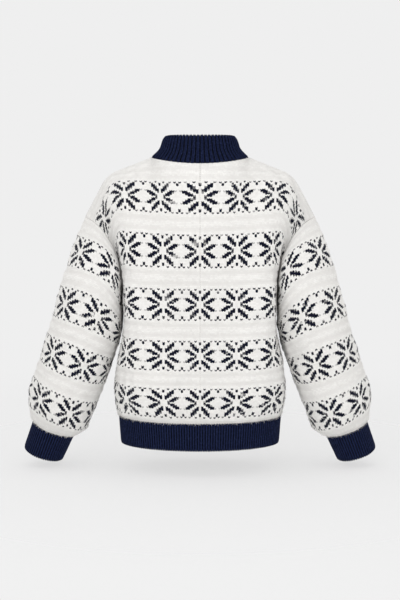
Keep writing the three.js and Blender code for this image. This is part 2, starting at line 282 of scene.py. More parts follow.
@dataclass(frozen=True)
class Form:
    """The pullover's shape, piece by piece, as smooth sheets of points."""

    panel_half: float = 266
    hem_z: float = -542
    underarm_z: float = -262
    armpit_back_z: float = -272
    neck_panel: float = 100
    shoulder: Shoulder = Shoulder()
    neckline: Neckline = Neckline()
    blend_rows: float = 24
    press_gap: float = 2.5
    press_softness: float = 5
    samples: int = 121

    def body_outline(self, z: Array, shares: Array, side: Side) -> Array:
        """A quarter of the body's outline at many levels, from the middle to the side seam.

        Args:
            z: The levels.
            shares: Shares of the quarter's length.
            side: The back or the front.

        Returns:
            Points by level and share.
        """
        table = columns_of(BODY_SECTIONS)
        half_width, depth, squareness = smooth_table(table, z).T[:, :, None]
        angle = np.linspace(0, math.pi / 2, self.samples)
        x = half_width * np.sin(angle) ** (2 / squareness)
        y = side.value * depth * np.maximum(np.cos(angle), 0) ** (2 / squareness)
        height = np.broadcast_to(np.asarray(z, float)[:, None], x.shape)
        outlines = np.stack([x, y, height], axis=-1)
        return np.stack([resample(outline, shares) for outline in outlines])

    def lower_panel(self, across: Array, side: Side) -> Array:
        """The panel below the underarm.

        Args:
            across: Distances from the panel's middle.
            side: The back or the front.

        Returns:
            Points by level and distance across.
        """
        levels = np.linspace(self.hem_z, self.underarm_z, self.samples)
        rings = self.body_outline(levels, across / self.panel_half, side)
        top = mix(self.armpit_back_z, self.underarm_z, (across / self.panel_half) ** 2)
        columns = []
        for i, end in enumerate(top):
            z = np.linspace(self.hem_z, end, self.samples)
            x, y = (np.interp(z, levels, rings[:, i, axis]) for axis in (0, 1))
            columns.append(np.stack([x, y, z], axis=-1))
        return np.stack(columns, axis=1)

    def shoulder_line(self, distance: Array) -> Array:
        """The line of the shoulder.

        Args:
            distance: Distances along it, from the neck.

        Returns:
            A point for each distance.
        """
        cut = self.shoulder
        start, end = math.radians(cut.slope), math.radians(cut.drop_slope)
        bend = cut.bend_radius * (end - start)
        straight = np.minimum(distance, cut.run)
        turned = start + np.clip(distance - cut.run, 0, bend) / cut.bend_radius
        dropped = np.maximum(distance - cut.run - bend, 0)
        x = self.neckline.half_width + straight * math.cos(start) + dropped * math.cos(end)
        z = -straight * math.sin(start) - dropped * math.sin(end)
        x = x + cut.bend_radius * (np.sin(turned) - math.sin(start))
        z = z - cut.bend_radius * (math.cos(start) - np.cos(turned))
        return np.stack([x, np.zeros_like(x), z], axis=-1)

    def panel_top(self, across: Array, side: Side) -> Array:
        """The top edge of a panel: the neckline, then the shoulder.

        Args:
            across: Distances from the panel's middle.
            side: The back or the front.

        Returns:
            A point for each distance.
        """
        cut = self.shoulder
        turn = math.radians(cut.drop_slope - cut.slope)
        length = cut.run + cut.drop_run + cut.bend_radius * turn
        run = (across - self.neck_panel) / (self.panel_half - self.neck_panel)
        shoulder = self.shoulder_line(length * np.maximum(run, 0))
        y, z = self.neckline.middle(side)
        angle = np.minimum(across / self.neck_panel, 1) * math.pi / 2
        width = self.neckline.half_width * np.sin(angle)
        neck = np.stack([width, y * np.cos(angle), z * np.cos(angle) ** 2], axis=-1)
        return np.where((across <= self.neck_panel)[:, None], neck, shoulder)

    def upper_panel(self, across: Array, side: Side) -> Array:
        """The panel above the underarm.

        Args:
            across: Distances from the panel's middle.
            side: The back or the front.

        Returns:
            Points by share of each wale's length and distance across.
        """
        table = columns_of(BACK_WALES if side is Side.BACK else FRONT_WALES)
        handles = smooth_table(table, across)
        corners = (
            self.lower_panel(across, side)[-1],
            handles[:, :3],
            handles[:, 3:],
            self.panel_top(across, side),
        )
        t = np.linspace(0, 1, self.samples)[:, None, None]
        weights = ((1 - t) ** 3, 3 * t * (1 - t) ** 2, 3 * t**2 * (1 - t), t**3)
        curves = sum(weight * corner for weight, corner in zip(weights, corners))
        shares = np.linspace(0, 1, self.samples)
        return np.stack([resample(curves[:, i], shares) for i in range(len(across))], axis=1)

    def armhole(self, shares: Array) -> Array:
        """The left armhole: from the underarm up the back, over the shoulder and down the front.

        Args:
            shares: Shares of its length.

        Returns:
            A point for each share.
        """
        edge = np.array([self.panel_half])
        back = self.upper_panel(edge, Side.BACK)[:, 0]
        front = self.upper_panel(edge, Side.FRONT)[:, 0]
        up, down = resample(back, np.minimum(2 * shares, 1)), resample(front, 2 - 2 * shares)
        return np.where((shares <= 0.5)[:, None], up, down)

    def sleeve_ring(self, section: Array, angle: Array) -> Array:
        """The points of a ring of the left sleeve.

        Args:
            section: The fields of a SleeveSection after its row.
            angle: Angles round the ring, from its outer side towards the back.

        Returns:
            A point for each angle.
        """
        x, y, z, half_width, half_depth, tilt, lean, lift = section
        tilt, lean = math.radians(tilt), math.radians(lean)
        out = half_width * np.cos(angle)
        back = half_depth * np.sin(angle)
        up = lift * np.sin(angle) ** 2
        px = x + out * math.cos(tilt) - up * math.sin(tilt)
        pz = z + out * math.sin(tilt) + up * math.cos(tilt) - back * math.sin(lean)
        return np.stack([px, y + back * math.cos(lean), pz], axis=-1)

    def pressed_out(self, points: Array) -> Array:
        """Moves cloth that would reach into the side of the body out until it just clears it.

        Args:
            points: Points of the left sleeve.

        Returns:
            The points, moved.
        """
        z = np.clip(points[:, 2], self.hem_z, self.underarm_z)
        side = smooth_table(columns_of(BODY_SECTIONS), z)[:, 0] + self.press_gap
        reach = (points[:, 0] - side) / self.press_softness
        x = side + self.press_softness * np.logaddexp(0, reach)
        return np.column_stack([x, points[:, 1:]])

    def sleeve(self, rows: Array, shares: Array) -> Array:
        """The left sleeve, by row from the armhole and share of the way round.

        Args:
            rows: Rows, the first of them 0.
            shares: Shares of a ring's length, from the underarm round the back.

        Returns:
            Points by row and share.
        """
        table = columns_of(SLEEVE_SECTIONS)
        turn = np.linspace(0, 1, 2 * self.samples - 1)
        angle = math.pi * (1 - 2 * turn)
        armhole = self.armhole(turn)
        offset = armhole - self.sleeve_ring(table[0, 1:], angle)
        rings = [resample(armhole, shares)]
        for row, section in zip(rows[1:], smooth_table(table, rows[1:])):
            melt = max(1 - row / self.blend_rows, 0) ** 2
            outline = self.pressed_out(self.sleeve_ring(section, angle) + offset * melt)
            rings.append(resample(outline, shares))
        return np.stack(rings)


FORM = Form()


# ---- Colours and nodes ----------------------------------------------------------------------------
def linear(hex_colour: str) -> tuple[float, float, float, float]:
    """Reads a colour as linear light.

    Args:
        hex_colour: The colour as #RRGGBB, in sRGB.

    Returns:
        Its red, green and blue in linear light, and an alpha of 1.
    """
    parts = [int(hex_colour[i : i + 2], 16) / 255 for i in (1, 3, 5)]
    r, g, b = (c / 12.92 if c <= 0.04045 else ((c + 0.055) / 1.055) ** 2.4 for c in parts)
    return (r, g, b, 1.0)


def add_node(
    tree: bpy.types.NodeTree, kind: str, inputs: dict | None = None, **settings: object
) -> bpy.types.Node:
    """Adds a node to a tree.

    Args:
        tree: The tree.
        kind: The node's type.
        inputs: For each input, by name or number, its value or the output that feeds it.
        **settings: The node's own properties.

    Returns:
        The node.
    """
    node = tree.nodes.new(kind)
    for name, value in settings.items():
        setattr(node, name, value)
    for key, value in (inputs or {}).items():
        if isinstance(value, bpy.types.NodeSocket):
            tree.links.new(value, node.inputs[key])
        else:
            node.inputs[key].default_value = value
    return node


MATH = "ShaderNodeMath"  # the type of the node that does sums, in materials and in Geometry Nodes


def blank_material(name: str) -> bpy.types.Material:
    """Makes a material with no nodes.

    Args:
        name: Its name.

    Returns:
        The material.
    """
    material = bpy.data.materials.new(name)
    material.use_nodes = True
    material.node_tree.nodes.clear()
    return material


def blank_tree(name: str, inputs: dict[str, str]) -> bpy.types.NodeTree:
    """Makes a Geometry Nodes tree that takes and gives a geometry, with no nodes.

    Args:
        name: Its name.
        inputs: The type of each of its other inputs, by name.

    Returns:
        The tree.
    """
    tree = bpy.data.node_groups.new(name, "GeometryNodeTree")
    for socket, kind in {"Geometry": "Geometry", **inputs}.items():
        tree.interface.new_socket(socket, in_out="INPUT", socket_type=f"NodeSocket{kind}")
    tree.interface.new_socket("Geometry", in_out="OUTPUT", socket_type="NodeSocketGeometry")
    return tree


def add_object(name: str, data: bpy.types.ID) -> bpy.types.Object:
    """Adds an object to the scene.

    Args:
        name: Its name.
        data: Its mesh, light or camera.

    Returns:
        The object.
    """
    made = bpy.data.objects.new(name, data)
    bpy.context.scene.collection.objects.link(made)
    return made


@dataclass(frozen=True)
class BrushedYarn:
    """Thick acrylic and wool yarn, knitted in plain stitches and brushed to a soft fleece.

    Each stitch shows as two short rolls of twisted yarn that meet in a V. Brushing lifts a haze of
    fibres, so the light comes off it softly, white haze creeps over the navy stitches, and the
    cloth glows a little where it turns away. The white is painted darker as shade in the hollows
    between the rolls and in the furrows between bands.
    """

    name: str = "brushed_wool_yarn_plain_knit"
    white: str = "#F8F7F4"
    # the white in painted shade, and at the dark end of the random tone
    shaded_white: str = "#E4E2DF"
    navy: str = "#060A1E"
    worn_navy: str = "#262C48"
    haze_size: float = 5.5  # mm, tufts of lifted fibre, drawn coarse enough to show
    fibre_size: float = 1.1  # mm, drawn coarser than the real 0.03 mm fibre so that it shows
    plies_per_leg: float = 2.5
    slant: float = 0.5  # rows that a stitch's leg climbs from its foot to its shoulder
    relief: float = 1.5  # mm

    def stitch_height(self, tree: bpy.types.NodeTree) -> bpy.types.NodeSocket:
        """Draws the rolls of yarn from the UV map, whose units are stitches and rows.

        Args:
            tree: The material's nodes.

        Returns:
            The height of the yarn, from 0 between stitches to about 0.5 on a roll.
        """
        uv = add_node(tree, "ShaderNodeUVMap", uv_map="stitches").outputs[0]
        legs = add_node(
            tree,
            "ShaderNodeVectorMath",
            {0: uv, 1: (2, 1, 0), 2: (0, self.slant / 2, 0)},
            operation="MULTIPLY_ADD",
        ).outputs[0]
        split = add_node(tree, "ShaderNodeSeparateXYZ", {0: legs}).outputs
        leg = add_node(tree, MATH, {0: split["X"], 1: 1.0}, operation="PINGPONG").outputs[0]
        level = add_node(
            tree, MATH, {0: leg, 1: -self.slant, 2: split["Y"]}, operation="MULTIPLY_ADD"
        ).outputs[0]
        across = add_node(tree, MATH, {0: leg, 1: 0.5}, operation="PINGPONG").outputs[0]
        along = add_node(tree, MATH, {0: level, 1: 0.5}, operation="PINGPONG").outputs[0]
        both = add_node(tree, MATH, {0: across, 1: along}, operation="MULTIPLY").outputs[0]
        roll = add_node(tree, MATH, {0: both, 1: 0.5}, operation="POWER").outputs[0]
        turns = add_node(
            tree, MATH, {0: level, 1: self.plies_per_leg, 2: leg}, operation="MULTIPLY_ADD"
        ).outputs[0]
        twist = add_node(tree, MATH, {0: turns, 1: 0.5}, operation="PINGPONG").outputs[0]
        return add_node(tree, MATH, {0: twist, 1: 0.15, 2: roll}, operation="MULTIPLY_ADD").outputs[0]

    def build(self) -> bpy.types.Material:
        """Makes the material.

        Returns:
            The material.
        """
        material = blank_material(self.name)
        tree = material.node_tree
        place = add_node(tree, "ShaderNodeTexCoord").outputs["Object"]
        haze = add_node(
            tree,
            "ShaderNodeTexNoise",
            {"Vector": place, "Scale": 1 / (self.haze_size * MM), "Detail": 4.0, "Roughness": 0.6},
        ).outputs["Fac"]
        fibre = add_node(
            tree,
            "ShaderNodeTexNoise",
            {"Vector": place, "Scale": 1 / (self.fibre_size * MM), "Detail": 3.0, "Roughness": 0.7},
        ).outputs["Fac"]
        navy = add_node(tree, "ShaderNodeAttribute", attribute_name="navy").outputs["Fac"]
        tone = add_node(tree, "ShaderNodeAttribute", attribute_name="tone").outputs["Fac"]
        height = self.stitch_height(tree)

        # Painted shade: the white is painted darker in the hollows between the rolls of yarn.
        painted_hollow_shade = add_node(
            tree, "ShaderNodeMapRange", {0: height, 1: 0.1, 2: 0.5, 3: 0.75, 4: 0.0}
        ).outputs[0]
        # The white darkens by random tone and fibre haze, and by painted shade in the hollows and in the
        # furrows between bands.
        dull_and_painted_shade = add_node(tree, MATH, {0: haze, 1: tone, 2: painted_hollow_shade}, operation="MULTIPLY_ADD", use_clamp=True)
        soft_white = add_node(
            tree,
            "ShaderNodeMix",
            {0: dull_and_painted_shade.outputs[0], 6: linear(self.white), 7: linear(self.shaded_white)},
            data_type="RGBA",
        ).outputs[2]
        worn = add_node(tree, "ShaderNodeMapRange", {0: haze, 1: 0.45, 2: 0.8, 3: 0.0, 4: 0.25}).outputs[0]
        dark = add_node(
            tree,
            "ShaderNodeMix",
            {0: worn, 6: linear(self.navy), 7: linear(self.worn_navy)},
            data_type="RGBA",
        ).outputs[2]
        colour = add_node(
            tree, "ShaderNodeMix", {0: navy, 6: soft_white, 7: dark}, data_type="RGBA"
        ).outputs[2]

        fluff = add_node(tree, MATH, {0: fibre, 1: 0.2, 2: height}, operation="MULTIPLY_ADD").outputs[0]
        nap = add_node(tree, MATH, {0: haze, 1: 0.3, 2: fluff}, operation="MULTIPLY_ADD").outputs[0]
        bump = add_node(
            tree, "ShaderNodeBump", {"Height": nap, "Distance": self.relief * MM, "Strength": 0.9}
        ).outputs[0]
        shader = add_node(
            tree,
            "ShaderNodeBsdfPrincipled",
            {
                "Base Color": colour,
                "Roughness": 0.95,
                "Normal": bump,
                "Sheen Weight": 0.18,
                "Sheen Roughness": 0.5,
                "Specular IOR Level": 0.05,
            },
        )
        add_node(tree, "ShaderNodeOutputMaterial", {"Surface": shader.outputs[0]})
        return material


@dataclass(frozen=True)
class RibYarn:
    """The same wool yarn dyed navy and knitted in ribs: soft ridges in navy with painted light
    on them, and grooves between them painted nearly black as shade."""

    name: str = "navy_wool_yarn_ribbed"
    ridge: str = "#1F2A52"
    # painted shade: the nearly black of the grooves between ribs
    painted_groove_shade: str = "#010205"
    lint: str = "#343F66"
    lint_size: float = 2.6  # mm
    fibre_size: float = 1.2  # mm, drawn coarser than the real fibre so that it shows
    relief: float = 0.7  # mm

    def build(self) -> bpy.types.Material:
        """Makes the material.

        Returns:
            The material.
        """
        material = blank_material(self.name)
        tree = material.node_tree
        place = add_node(tree, "ShaderNodeTexCoord").outputs["Object"]
        ridge = add_node(tree, "ShaderNodeAttribute", attribute_name="ridge").outputs["Fac"]
        lint = add_node(
            tree,
            "ShaderNodeTexNoise",
            {"Vector": place, "Scale": 1 / (self.lint_size * MM), "Detail": 4.0, "Roughness": 0.7},
        ).outputs["Fac"]
        fibre = add_node(
            tree,
            "ShaderNodeTexNoise",
            {"Vector": place, "Scale": 1 / (self.fibre_size * MM), "Detail": 3.0, "Roughness": 0.7},
        ).outputs["Fac"]
        uv = add_node(tree, "ShaderNodeUVMap", uv_map="stitches").outputs[0]
        row = add_node(tree, "ShaderNodeSeparateXYZ", {0: uv}).outputs[1]
        rows = add_node(tree, MATH, {0: row, 1: 0.5}, operation="PINGPONG").outputs[0]
        # Painted light and shade: the colour runs from painted shade, nearly black, in the grooves up to
        # the navy of the ridges, and each row of stitches is painted lighter across its middle.
        lit = add_node(tree, MATH, {0: rows, 1: 0.6, 2: 0.7}, operation="MULTIPLY_ADD").outputs[0]
        round_ridge = add_node(tree, MATH, {0: ridge, 1: 4.5}, operation="POWER").outputs[0]
        shade = add_node(tree, MATH, {0: round_ridge, 1: lit}, operation="MULTIPLY").outputs[0]
        colour = add_node(
            tree,
            "ShaderNodeMix",
            {0: shade, 6: linear(self.painted_groove_shade), 7: linear(self.ridge)},
            data_type="RGBA",
        ).outputs[2]
        spots = add_node(tree, "ShaderNodeMapRange", {0: lint, 1: 0.5, 2: 0.75, 3: 0.0, 4: 0.6}).outputs[0]
        linted = add_node(
            tree, "ShaderNodeMix", {0: spots, 6: colour, 7: linear(self.lint)}, data_type="RGBA"
        ).outputs[2]
        height = add_node(tree, MATH, {0: rows, 1: 1.0, 2: fibre}, operation="MULTIPLY_ADD").outputs[0]
        bump = add_node(
            tree, "ShaderNodeBump", {"Height": height, "Distance": self.relief * MM, "Strength": 0.8}
        ).outputs[0]
        shader = add_node(
            tree,
            "ShaderNodeBsdfPrincipled",
            {
                "Base Color": linted,
                "Roughness": 0.9,
                "Normal": bump,
                "Sheen Weight": 0.02,
                "Sheen Roughness": 0.5,
                "Specular IOR Level": 0.06,
            },
        )
        add_node(tree, "ShaderNodeOutputMaterial", {"Surface": shader.outputs[0]})
        return material


@dataclass(frozen=True)
class SewingThread:
    """Spun polyester thread that closes the seams: matt, and greyer than the yarn it sinks into."""

    name: str = "spun_polyester_thread"
    colour: str = "#C9C6C0"
    dark: str = "#A5A29D"
    ply: float = 0.8  # mm

    def build(self) -> bpy.types.Material:
        """Makes the material.

        Returns:
            The material.
        """
        material = blank_material(self.name)
        tree = material.node_tree
        place = add_node(tree, "ShaderNodeTexCoord").outputs["Object"]
        ply = add_node(
            tree, "ShaderNodeTexNoise", {"Vector": place, "Scale": 1 / (self.ply * MM)}
        ).outputs["Fac"]
        colour = add_node(
            tree, "ShaderNodeMix", {0: ply, 6: linear(self.colour), 7: linear(self.dark)}, data_type="RGBA"
        ).outputs[2]
        bump = add_node(tree, "ShaderNodeBump", {"Height": ply, "Distance": 0.2 * MM}).outputs[0]
        shader = add_node(
            tree, "ShaderNodeBsdfPrincipled", {"Base Color": colour, "Roughness": 0.8, "Normal": bump}
        )
        add_node(tree, "ShaderNodeOutputMaterial", {"Surface": shader.outputs[0]})
        return material


# ---- Meshes from grids ----------------------------------------------------------------------------
class ClothMesh:
    """Collects the points and faces of one piece and writes them as a mesh."""

    def __init__(self) -> None:
        """Starts empty."""
        self.points: list[Array] = []
        self.faces: list[list[int]] = []
        self.uvs: list[tuple[float, float]] = []
        self.navy: list[float] = []
        self.tone: list[float] = []
        self.outside: list[float] = []
        self.count = 0

    def add_points(self, points: Array) -> int:
        """Adds points.

        Args:
            points: The points, in a grid of any shape.

        Returns:
            The number of the first.
        """
        first = self.count
        self.points.append(points.reshape(-1, 3))
        self.count += len(self.points[-1])
        return first

    def add_face(
        self,
        corners: Sequence[int],
        uvs: Sequence[tuple[float, float]],
        navy: float = 0.0,
        tone: float = 0.5,
        outside: float = 0.0,
    ) -> None:
        """Adds a face, leaving out corners that stand on one another.

        Args:
            corners: The numbers of its points, in order.
            uvs: The place of each corner in stitches and rows.
            navy: How navy its yarn is, from 0 to 1.
            tone: Where its stitch stands between the lightest and the darkest, 0 to 1, plus painted shade
                in a furrow.
            outside: How many times the usual number of loose fibres it has, 0 inside the garment.
        """
        kept = [k for k, corner in enumerate(corners) if corner != corners[k - 1]]
        if len(kept) < 3:
            return
        self.faces.append([corners[k] for k in kept])
        self.uvs.extend(uvs[k] for k in kept)
        self.navy.append(navy)
        self.tone.append(tone)
        self.outside.append(outside)

    def write(self, name: str, mirrored: bool = False) -> bpy.types.Object:
        """Writes the mesh, with its faces turned out.

        Args:
            name: The object's name.
            mirrored: Whether the piece is the one on the wearer's right.

        Returns:
            The object, with metres for its units.
        """
        points = np.concatenate(self.points) * MM
        if mirrored:
            points = points * (-1, 1, 1)
        mesh = bpy.data.meshes.new(name)
        mesh.from_pydata(points.tolist(), [], self.faces)
        layer = mesh.uv_layers.new(name="stitches")
        layer.data.foreach_set("uv", np.array(self.uvs, np.float32).ravel())
        for attribute, values in (("navy", self.navy), ("tone", self.tone), ("outside", self.outside)):
            mesh.attributes.new(attribute, "FLOAT", "FACE").data.foreach_set("value", values)
        corners = [points[face[:3]] for face in self.faces]
        a, b, c = np.array(corners).transpose(1, 0, 2)
        if np.einsum("ij,ij->i", a, np.cross(b, c)).sum() < 0:
            mesh.flip_normals()
        mesh.polygons.foreach_set("use_smooth", [True] * len(self.faces))
        mesh.update()
        return add_object(name, mesh)


# ---- Knitting -------------------------------------------------------------------------------------
# One quarter of the star, from its middle out. Each line is a row of knitting, and each mark a
# stitch: # is navy, + navy with white haze over it, - a faint one, and . white.
STAR_CHART = (
    "..#......",
    "..+##....",
    "...###...",
    ".#..###..",
    ".##..##-.",
    ".##+.....",
    "..##.....",
    "..+##....",
    "#..##...#",
    "#...#...#",
    "..#..+.#.",
)
COLUMNS_PER_STITCH = 4  # columns of points
YARN = {"#": 1.0, "+": 0.8, "-": 0.45, ".": 0.0}


@dataclass(frozen=True)
class StarBands:
    """Bands of stars worked across a piece of knitting."""

    first_row: int
    first_column: int = 0
    bands: int = 5
    star_stitches: int = 16
    band_rows: int = 34
    patch_stitches: float = 11  # size of a patch where brushing has dulled the navy yarn
    patch_waves: int = 6
    patch_edge: tuple[float, float] = (1.1, 1.9)  # the waves' sum at the edge and middle of a patch
    patch_wear: tuple[float, float] = (0.2, 0.85)  # the least and most that a patch dulls a stitch
    lone_share: float = 0.04  # of the stitches, those dulled on their own
    lone_wear: tuple[float, float] = (0.15, 0.5)
    furrow_offset: float = 3.2  # rows from the middle between two bands to each furrow
    furrow_width: float = 1.2  # rows

    def furrow(self, row: Array) -> Array:
        """Two furrows in the plain knitting between bands, where the yarn behind pulls less.

        Args:
            row: Rows, not always whole.

        Returns:
            1 in the middle of a furrow and 0 away from it, for each row.
        """
        past = np.abs((row - self.first_row) % self.band_rows - self.band_rows / 2)
        return np.exp(-(((past - self.furrow_offset) / self.furrow_width) ** 2))

    def navy(self, column: Array, row: Array, random: np.random.Generator) -> Array:
        """How navy each stitch is.

        Args:
            column: The stitches.
            row: Their rows.
            random: Draws the few stitches that brushing has dulled.

        Returns:
            A number from 0 to 1 for each stitch.
        """
        chart = np.array([[YARN[mark] for mark in line] for line in STAR_CHART])
        band = np.round((row - self.first_row) / self.band_rows)
        up = np.abs(row - self.first_row - band * self.band_rows).astype(int)
        half = self.star_stitches // 2
        across = np.abs((column - self.first_column + half) % self.star_stitches - half)
        inside = (up < len(chart)) & (band >= 0) & (band < self.bands)
        worked = chart[np.minimum(up, len(chart) - 1), across.astype(int)] * inside
        rubbed = np.zeros(worked.shape)
        for _ in range(self.patch_waves):
            turn = random.normal(size=2) * 2 * math.pi / self.patch_stitches
            rubbed += np.sin(turn[0] * column + turn[1] * row + random.uniform(0, 2 * math.pi))
        patches = ease(rubbed / math.sqrt(self.patch_waves), *self.patch_edge)
        rubbed = patches * random.uniform(*self.patch_wear, worked.shape)
        alone = random.random(worked.shape) < self.lone_share
        lone = alone * random.uniform(*self.lone_wear, worked.shape)
        return worked * (1 - np.maximum(rubbed, lone))


@dataclass(frozen=True)
class Crease:
    """A fold on a piece: a soft, uneven trough or ridge from one place to another.

    column and row give its ends, width is the distance from its middle to where it has nearly
    gone, and height is how far it stands out, or in where it is negative. All but the rows and
    columns are in millimetres.
    """

    column: float
    row: float
    end_column: float
    end_row: float
    width: float
    height: float
    bow: float = 0.0  # how far its middle bends aside
    stray: float = 0.12  # share of its width that it strays from side to side
    stray_rate: float = 9  # radians of that along its length

    def relief(self, column: Array, row: Array, pitch: tuple[float, float]) -> Array:
        """How far the fold moves each place out.

        Args:
            column: Columns of the places.
            row: Rows of the places.
            pitch: The size of a stitch, across and up.

        Returns:
            A distance for each place.
        """
        x, y = (column - self.column) * pitch[0], (row - self.row) * pitch[1]
        dx, dy = (self.end_column - self.column) * pitch[0], (self.end_row - self.row) * pitch[1]
        length = math.hypot(dx, dy)
        along = (x * dx + y * dy) / length**2
        aside = (y * dx - x * dy) / length - self.bow * 4 * along * (1 - along)
        aside = aside + self.stray * self.width * np.sin(self.stray_rate * along + self.column)
        fade = ease(along, -0.25, 0.3) * ease(-along, -1.25, -0.7)
        return self.height * fade * np.exp(-((aside / (0.6 * self.width)) ** 2))


@dataclass(frozen=True)
class Wander:
    """The slow unevenness of hand-filled cloth, as a few waves of no fixed direction."""

    size: float = 70
    height: float = 1.0
    waves: int = 7

    def relief(self, points: Array, seed: int) -> Array:
        """How far the cloth stands out at each point.

        Args:
            points: Places in millimetres.
            seed: Picks the waves.

        Returns:
            A distance for each point.
        """
        random = np.random.default_rng(seed)
        total = np.zeros(points.shape[:-1])
        for _ in range(self.waves):
            turn = random.normal(size=3) * 2 * math.pi / self.size
            total += np.sin(points @ turn + random.uniform(0, 2 * math.pi))
        return self.height * total / math.sqrt(self.waves)


@dataclass
class KnitPiece:
    """One knit piece: a sheet of stitches on the garment's form, with its inner face and edges.

    The sheet is read from lines of points, one for each column, on which each point has a row.
    """

    name: str
    bands: StarBands
    around: bool = False
    mirrored: bool = False
    seed: int = 1
    stitch: tuple[float, float] = (4.75, 3.1)
    wall: float = 3.0
    inner_step: int = 8  # outer columns to one of the inner face
    inner_lines: int = 45  # rows of points on the inner face
    jitter: float = 0.05  # rows that a stitch is out of line by
    slant: float = 0.5  # rows that a stitch's leg climbs from its foot to its shoulder
    roll: float = 0.75  # how far a stitch's leg stands out of the cloth
    ripple: float = 1.5  # depth of the furrows between two bands
    furrow_shade: float = 1.3  # how much painted shade darkens the yarn in a furrow
    seam_dip: float = 0.7  # how far the cloth sinks at a seam
    seam_width: float = 5.0  # and how far from the seam it starts to
    fine_size: float = 24  # mm, the smaller unevenness of the cloth
    fine_share: float = 0.4  # its height beside the larger's
    fine_seed: int = 50  # added to the piece's own seed for it
    fringe: float = 5.0  # how many times more fibres stand along a ribbed edge
    fringe_rows: tuple[float, ...] = (0,)  # the rows along ribbed edges
    fringe_reach: float = 2  # rows from such a row to where the fringe ends
    creases: tuple[Crease, ...] = ()
    lines: Array = field(default_factory=lambda: np.zeros((2, 2, 3)))
    line_rows: Array = field(default_factory=lambda: np.zeros((2, 2)))
    columns: Array = field(default_factory=lambda: np.zeros(2))

    def at_rows(self, rows: Array, normals: Array) -> tuple[Array, Array]:
        """The points and outward directions of the form at a row on each column.

        Args:
            rows: Rows by row line and column.
            normals: The directions at the form's own points.

        Returns:
            Points and unit vectors, by row line and column.
        """
        both = np.concatenate([self.lines, normals], axis=-1)
        found = np.empty((*rows.shape, 6))
        for i in range(rows.shape[1]):
            for axis in range(6):
                found[:, i, axis] = np.interp(rows[:, i], self.line_rows[:, i], both[:, i, axis])
        direction = found[..., 3:] / np.linalg.norm(found[..., 3:], axis=-1, keepdims=True)
        return found[..., :3], direction

    def seam_distance(self, rows: Array, columns: Array) -> Array:
        """How far each place is from the nearest edge of the piece.

        Args:
            rows: Rows by row line and column.
            columns: The columns.

        Returns:
            A distance in millimetres for each place.
        """
        top = self.line_rows[-1]
        distance = np.minimum(rows, top - rows) * self.stitch[1]
        if not self.around:
            side = np.minimum(columns - columns[0], columns[-1] - columns)
            distance = np.minimum(distance, side * self.stitch[0])
        return distance

    def folds(self, points: Array, rows: Array, columns: Array) -> Array:
        """How far the folds and the cloth's unevenness move each place out.

        Args:
            points: The places in millimetres.
            rows: Their rows.
            columns: The columns.

        Returns:
            A distance for each place.
        """
        fine = Wander(size=self.fine_size).relief(points, self.seed + self.fine_seed)
        total = Wander().relief(points, self.seed) + self.fine_share * fine
        wide = np.broadcast_to(columns, rows.shape)
        total = total - self.ripple * self.bands.furrow(rows)
        way_round = columns[-1] - columns[0]
        for crease in self.creases:
            for turn in (-way_round, 0, way_round) if self.around else (0,):
                total = total + crease.relief(wide + turn, rows, self.stitch)
        return total

    def build(self, material: bpy.types.Material) -> bpy.types.Object:
        """Knits the piece.

        Args:
            material: Its yarn.

        Returns:
            The object.
        """
        random = np.random.default_rng(self.seed)
        normals = grid_normals(self.lines, self.around)
        core = self.lines.mean(axis=1, keepdims=True) if self.around else self.lines * (0, 0, 1)
        if ((self.lines - core) * normals).sum() < 0:
            normals = -normals
        columns, top = self.columns, self.line_rows[-1]
        steps = np.arange(0, int(np.ceil(top.max())) + 1)
        phase = np.abs((columns + 0.5) % 1 - 0.5) * 2  # 0 in the middle of a stitch, 1 at its side
        jitter = random.normal(0, self.jitter, (len(steps), len(columns)))
        rows = steps[:, None] + self.slant * (phase - 0.5)[None, :] + jitter
        if self.around:
            rows[:, -1] = rows[:, 0]
        rows = np.clip(rows, 0, top[None, :])
        rows[0] = 0
        points, direction = self.at_rows(rows, normals)

        near = ease(self.seam_distance(rows, columns), 0, self.seam_width)
        ridge = np.sin(math.pi * phase)
        relief = self.roll * (ridge[None, :] - 0.5)
        out = near * (relief + self.folds(points, rows, columns)) - (1 - near) * self.seam_dip
        if self.around:
            out[:, -1] = out[:, 0]
        outer = points + direction * out[..., None]
        return self.assemble(outer, rows, columns, normals, random, material)

    def assemble(
        self,
        outer: Array,
        rows: Array,
        columns: Array,
        normals: Array,
        random: np.random.Generator,
        material: bpy.types.Material,
    ) -> bpy.types.Object:
        """Joins the stitches, the inner face and the edges into one closed piece.

        Args:
            outer: The outer points, by row line and column.
            rows: Their rows.
            columns: Their columns.
            normals: The form's outward directions.
            random: Draws each stitch's tone.
            material: The yarn.

        Returns:
            The object.
        """
        mesh = ClothMesh()
        spans = len(columns) - 1
        first = mesh.add_points(outer)
        last_line = (rows < self.line_rows[-1] - 1e-6).sum(axis=0)
        lines = np.minimum(np.arange(len(rows))[:, None], last_line[None, :])
        wrap = np.arange(len(columns))
        if self.around:
            wrap[-1] = 0
            lines[:, -1] = lines[:, 0]
        index = first + lines * len(columns) + wrap[None, :]

        stitch = np.round((columns[:-1] + columns[1:]) / 2).astype(int)
        stitches = np.arange(stitch.min(), stitch.max() + 1)
        grid_row, grid_stitch = np.meshgrid(np.arange(len(rows) - 1), stitches, indexing="ij")
        navy = self.bands.navy(grid_stitch, grid_row, random)
        # Each stitch's random tone, plus painted shade in the furrows between bands.
        tone = random.random(navy.shape) + self.furrow_shade * self.bands.furrow(grid_row)
        navy, tone = (values[:, stitch - stitches[0]] for values in (navy, tone))

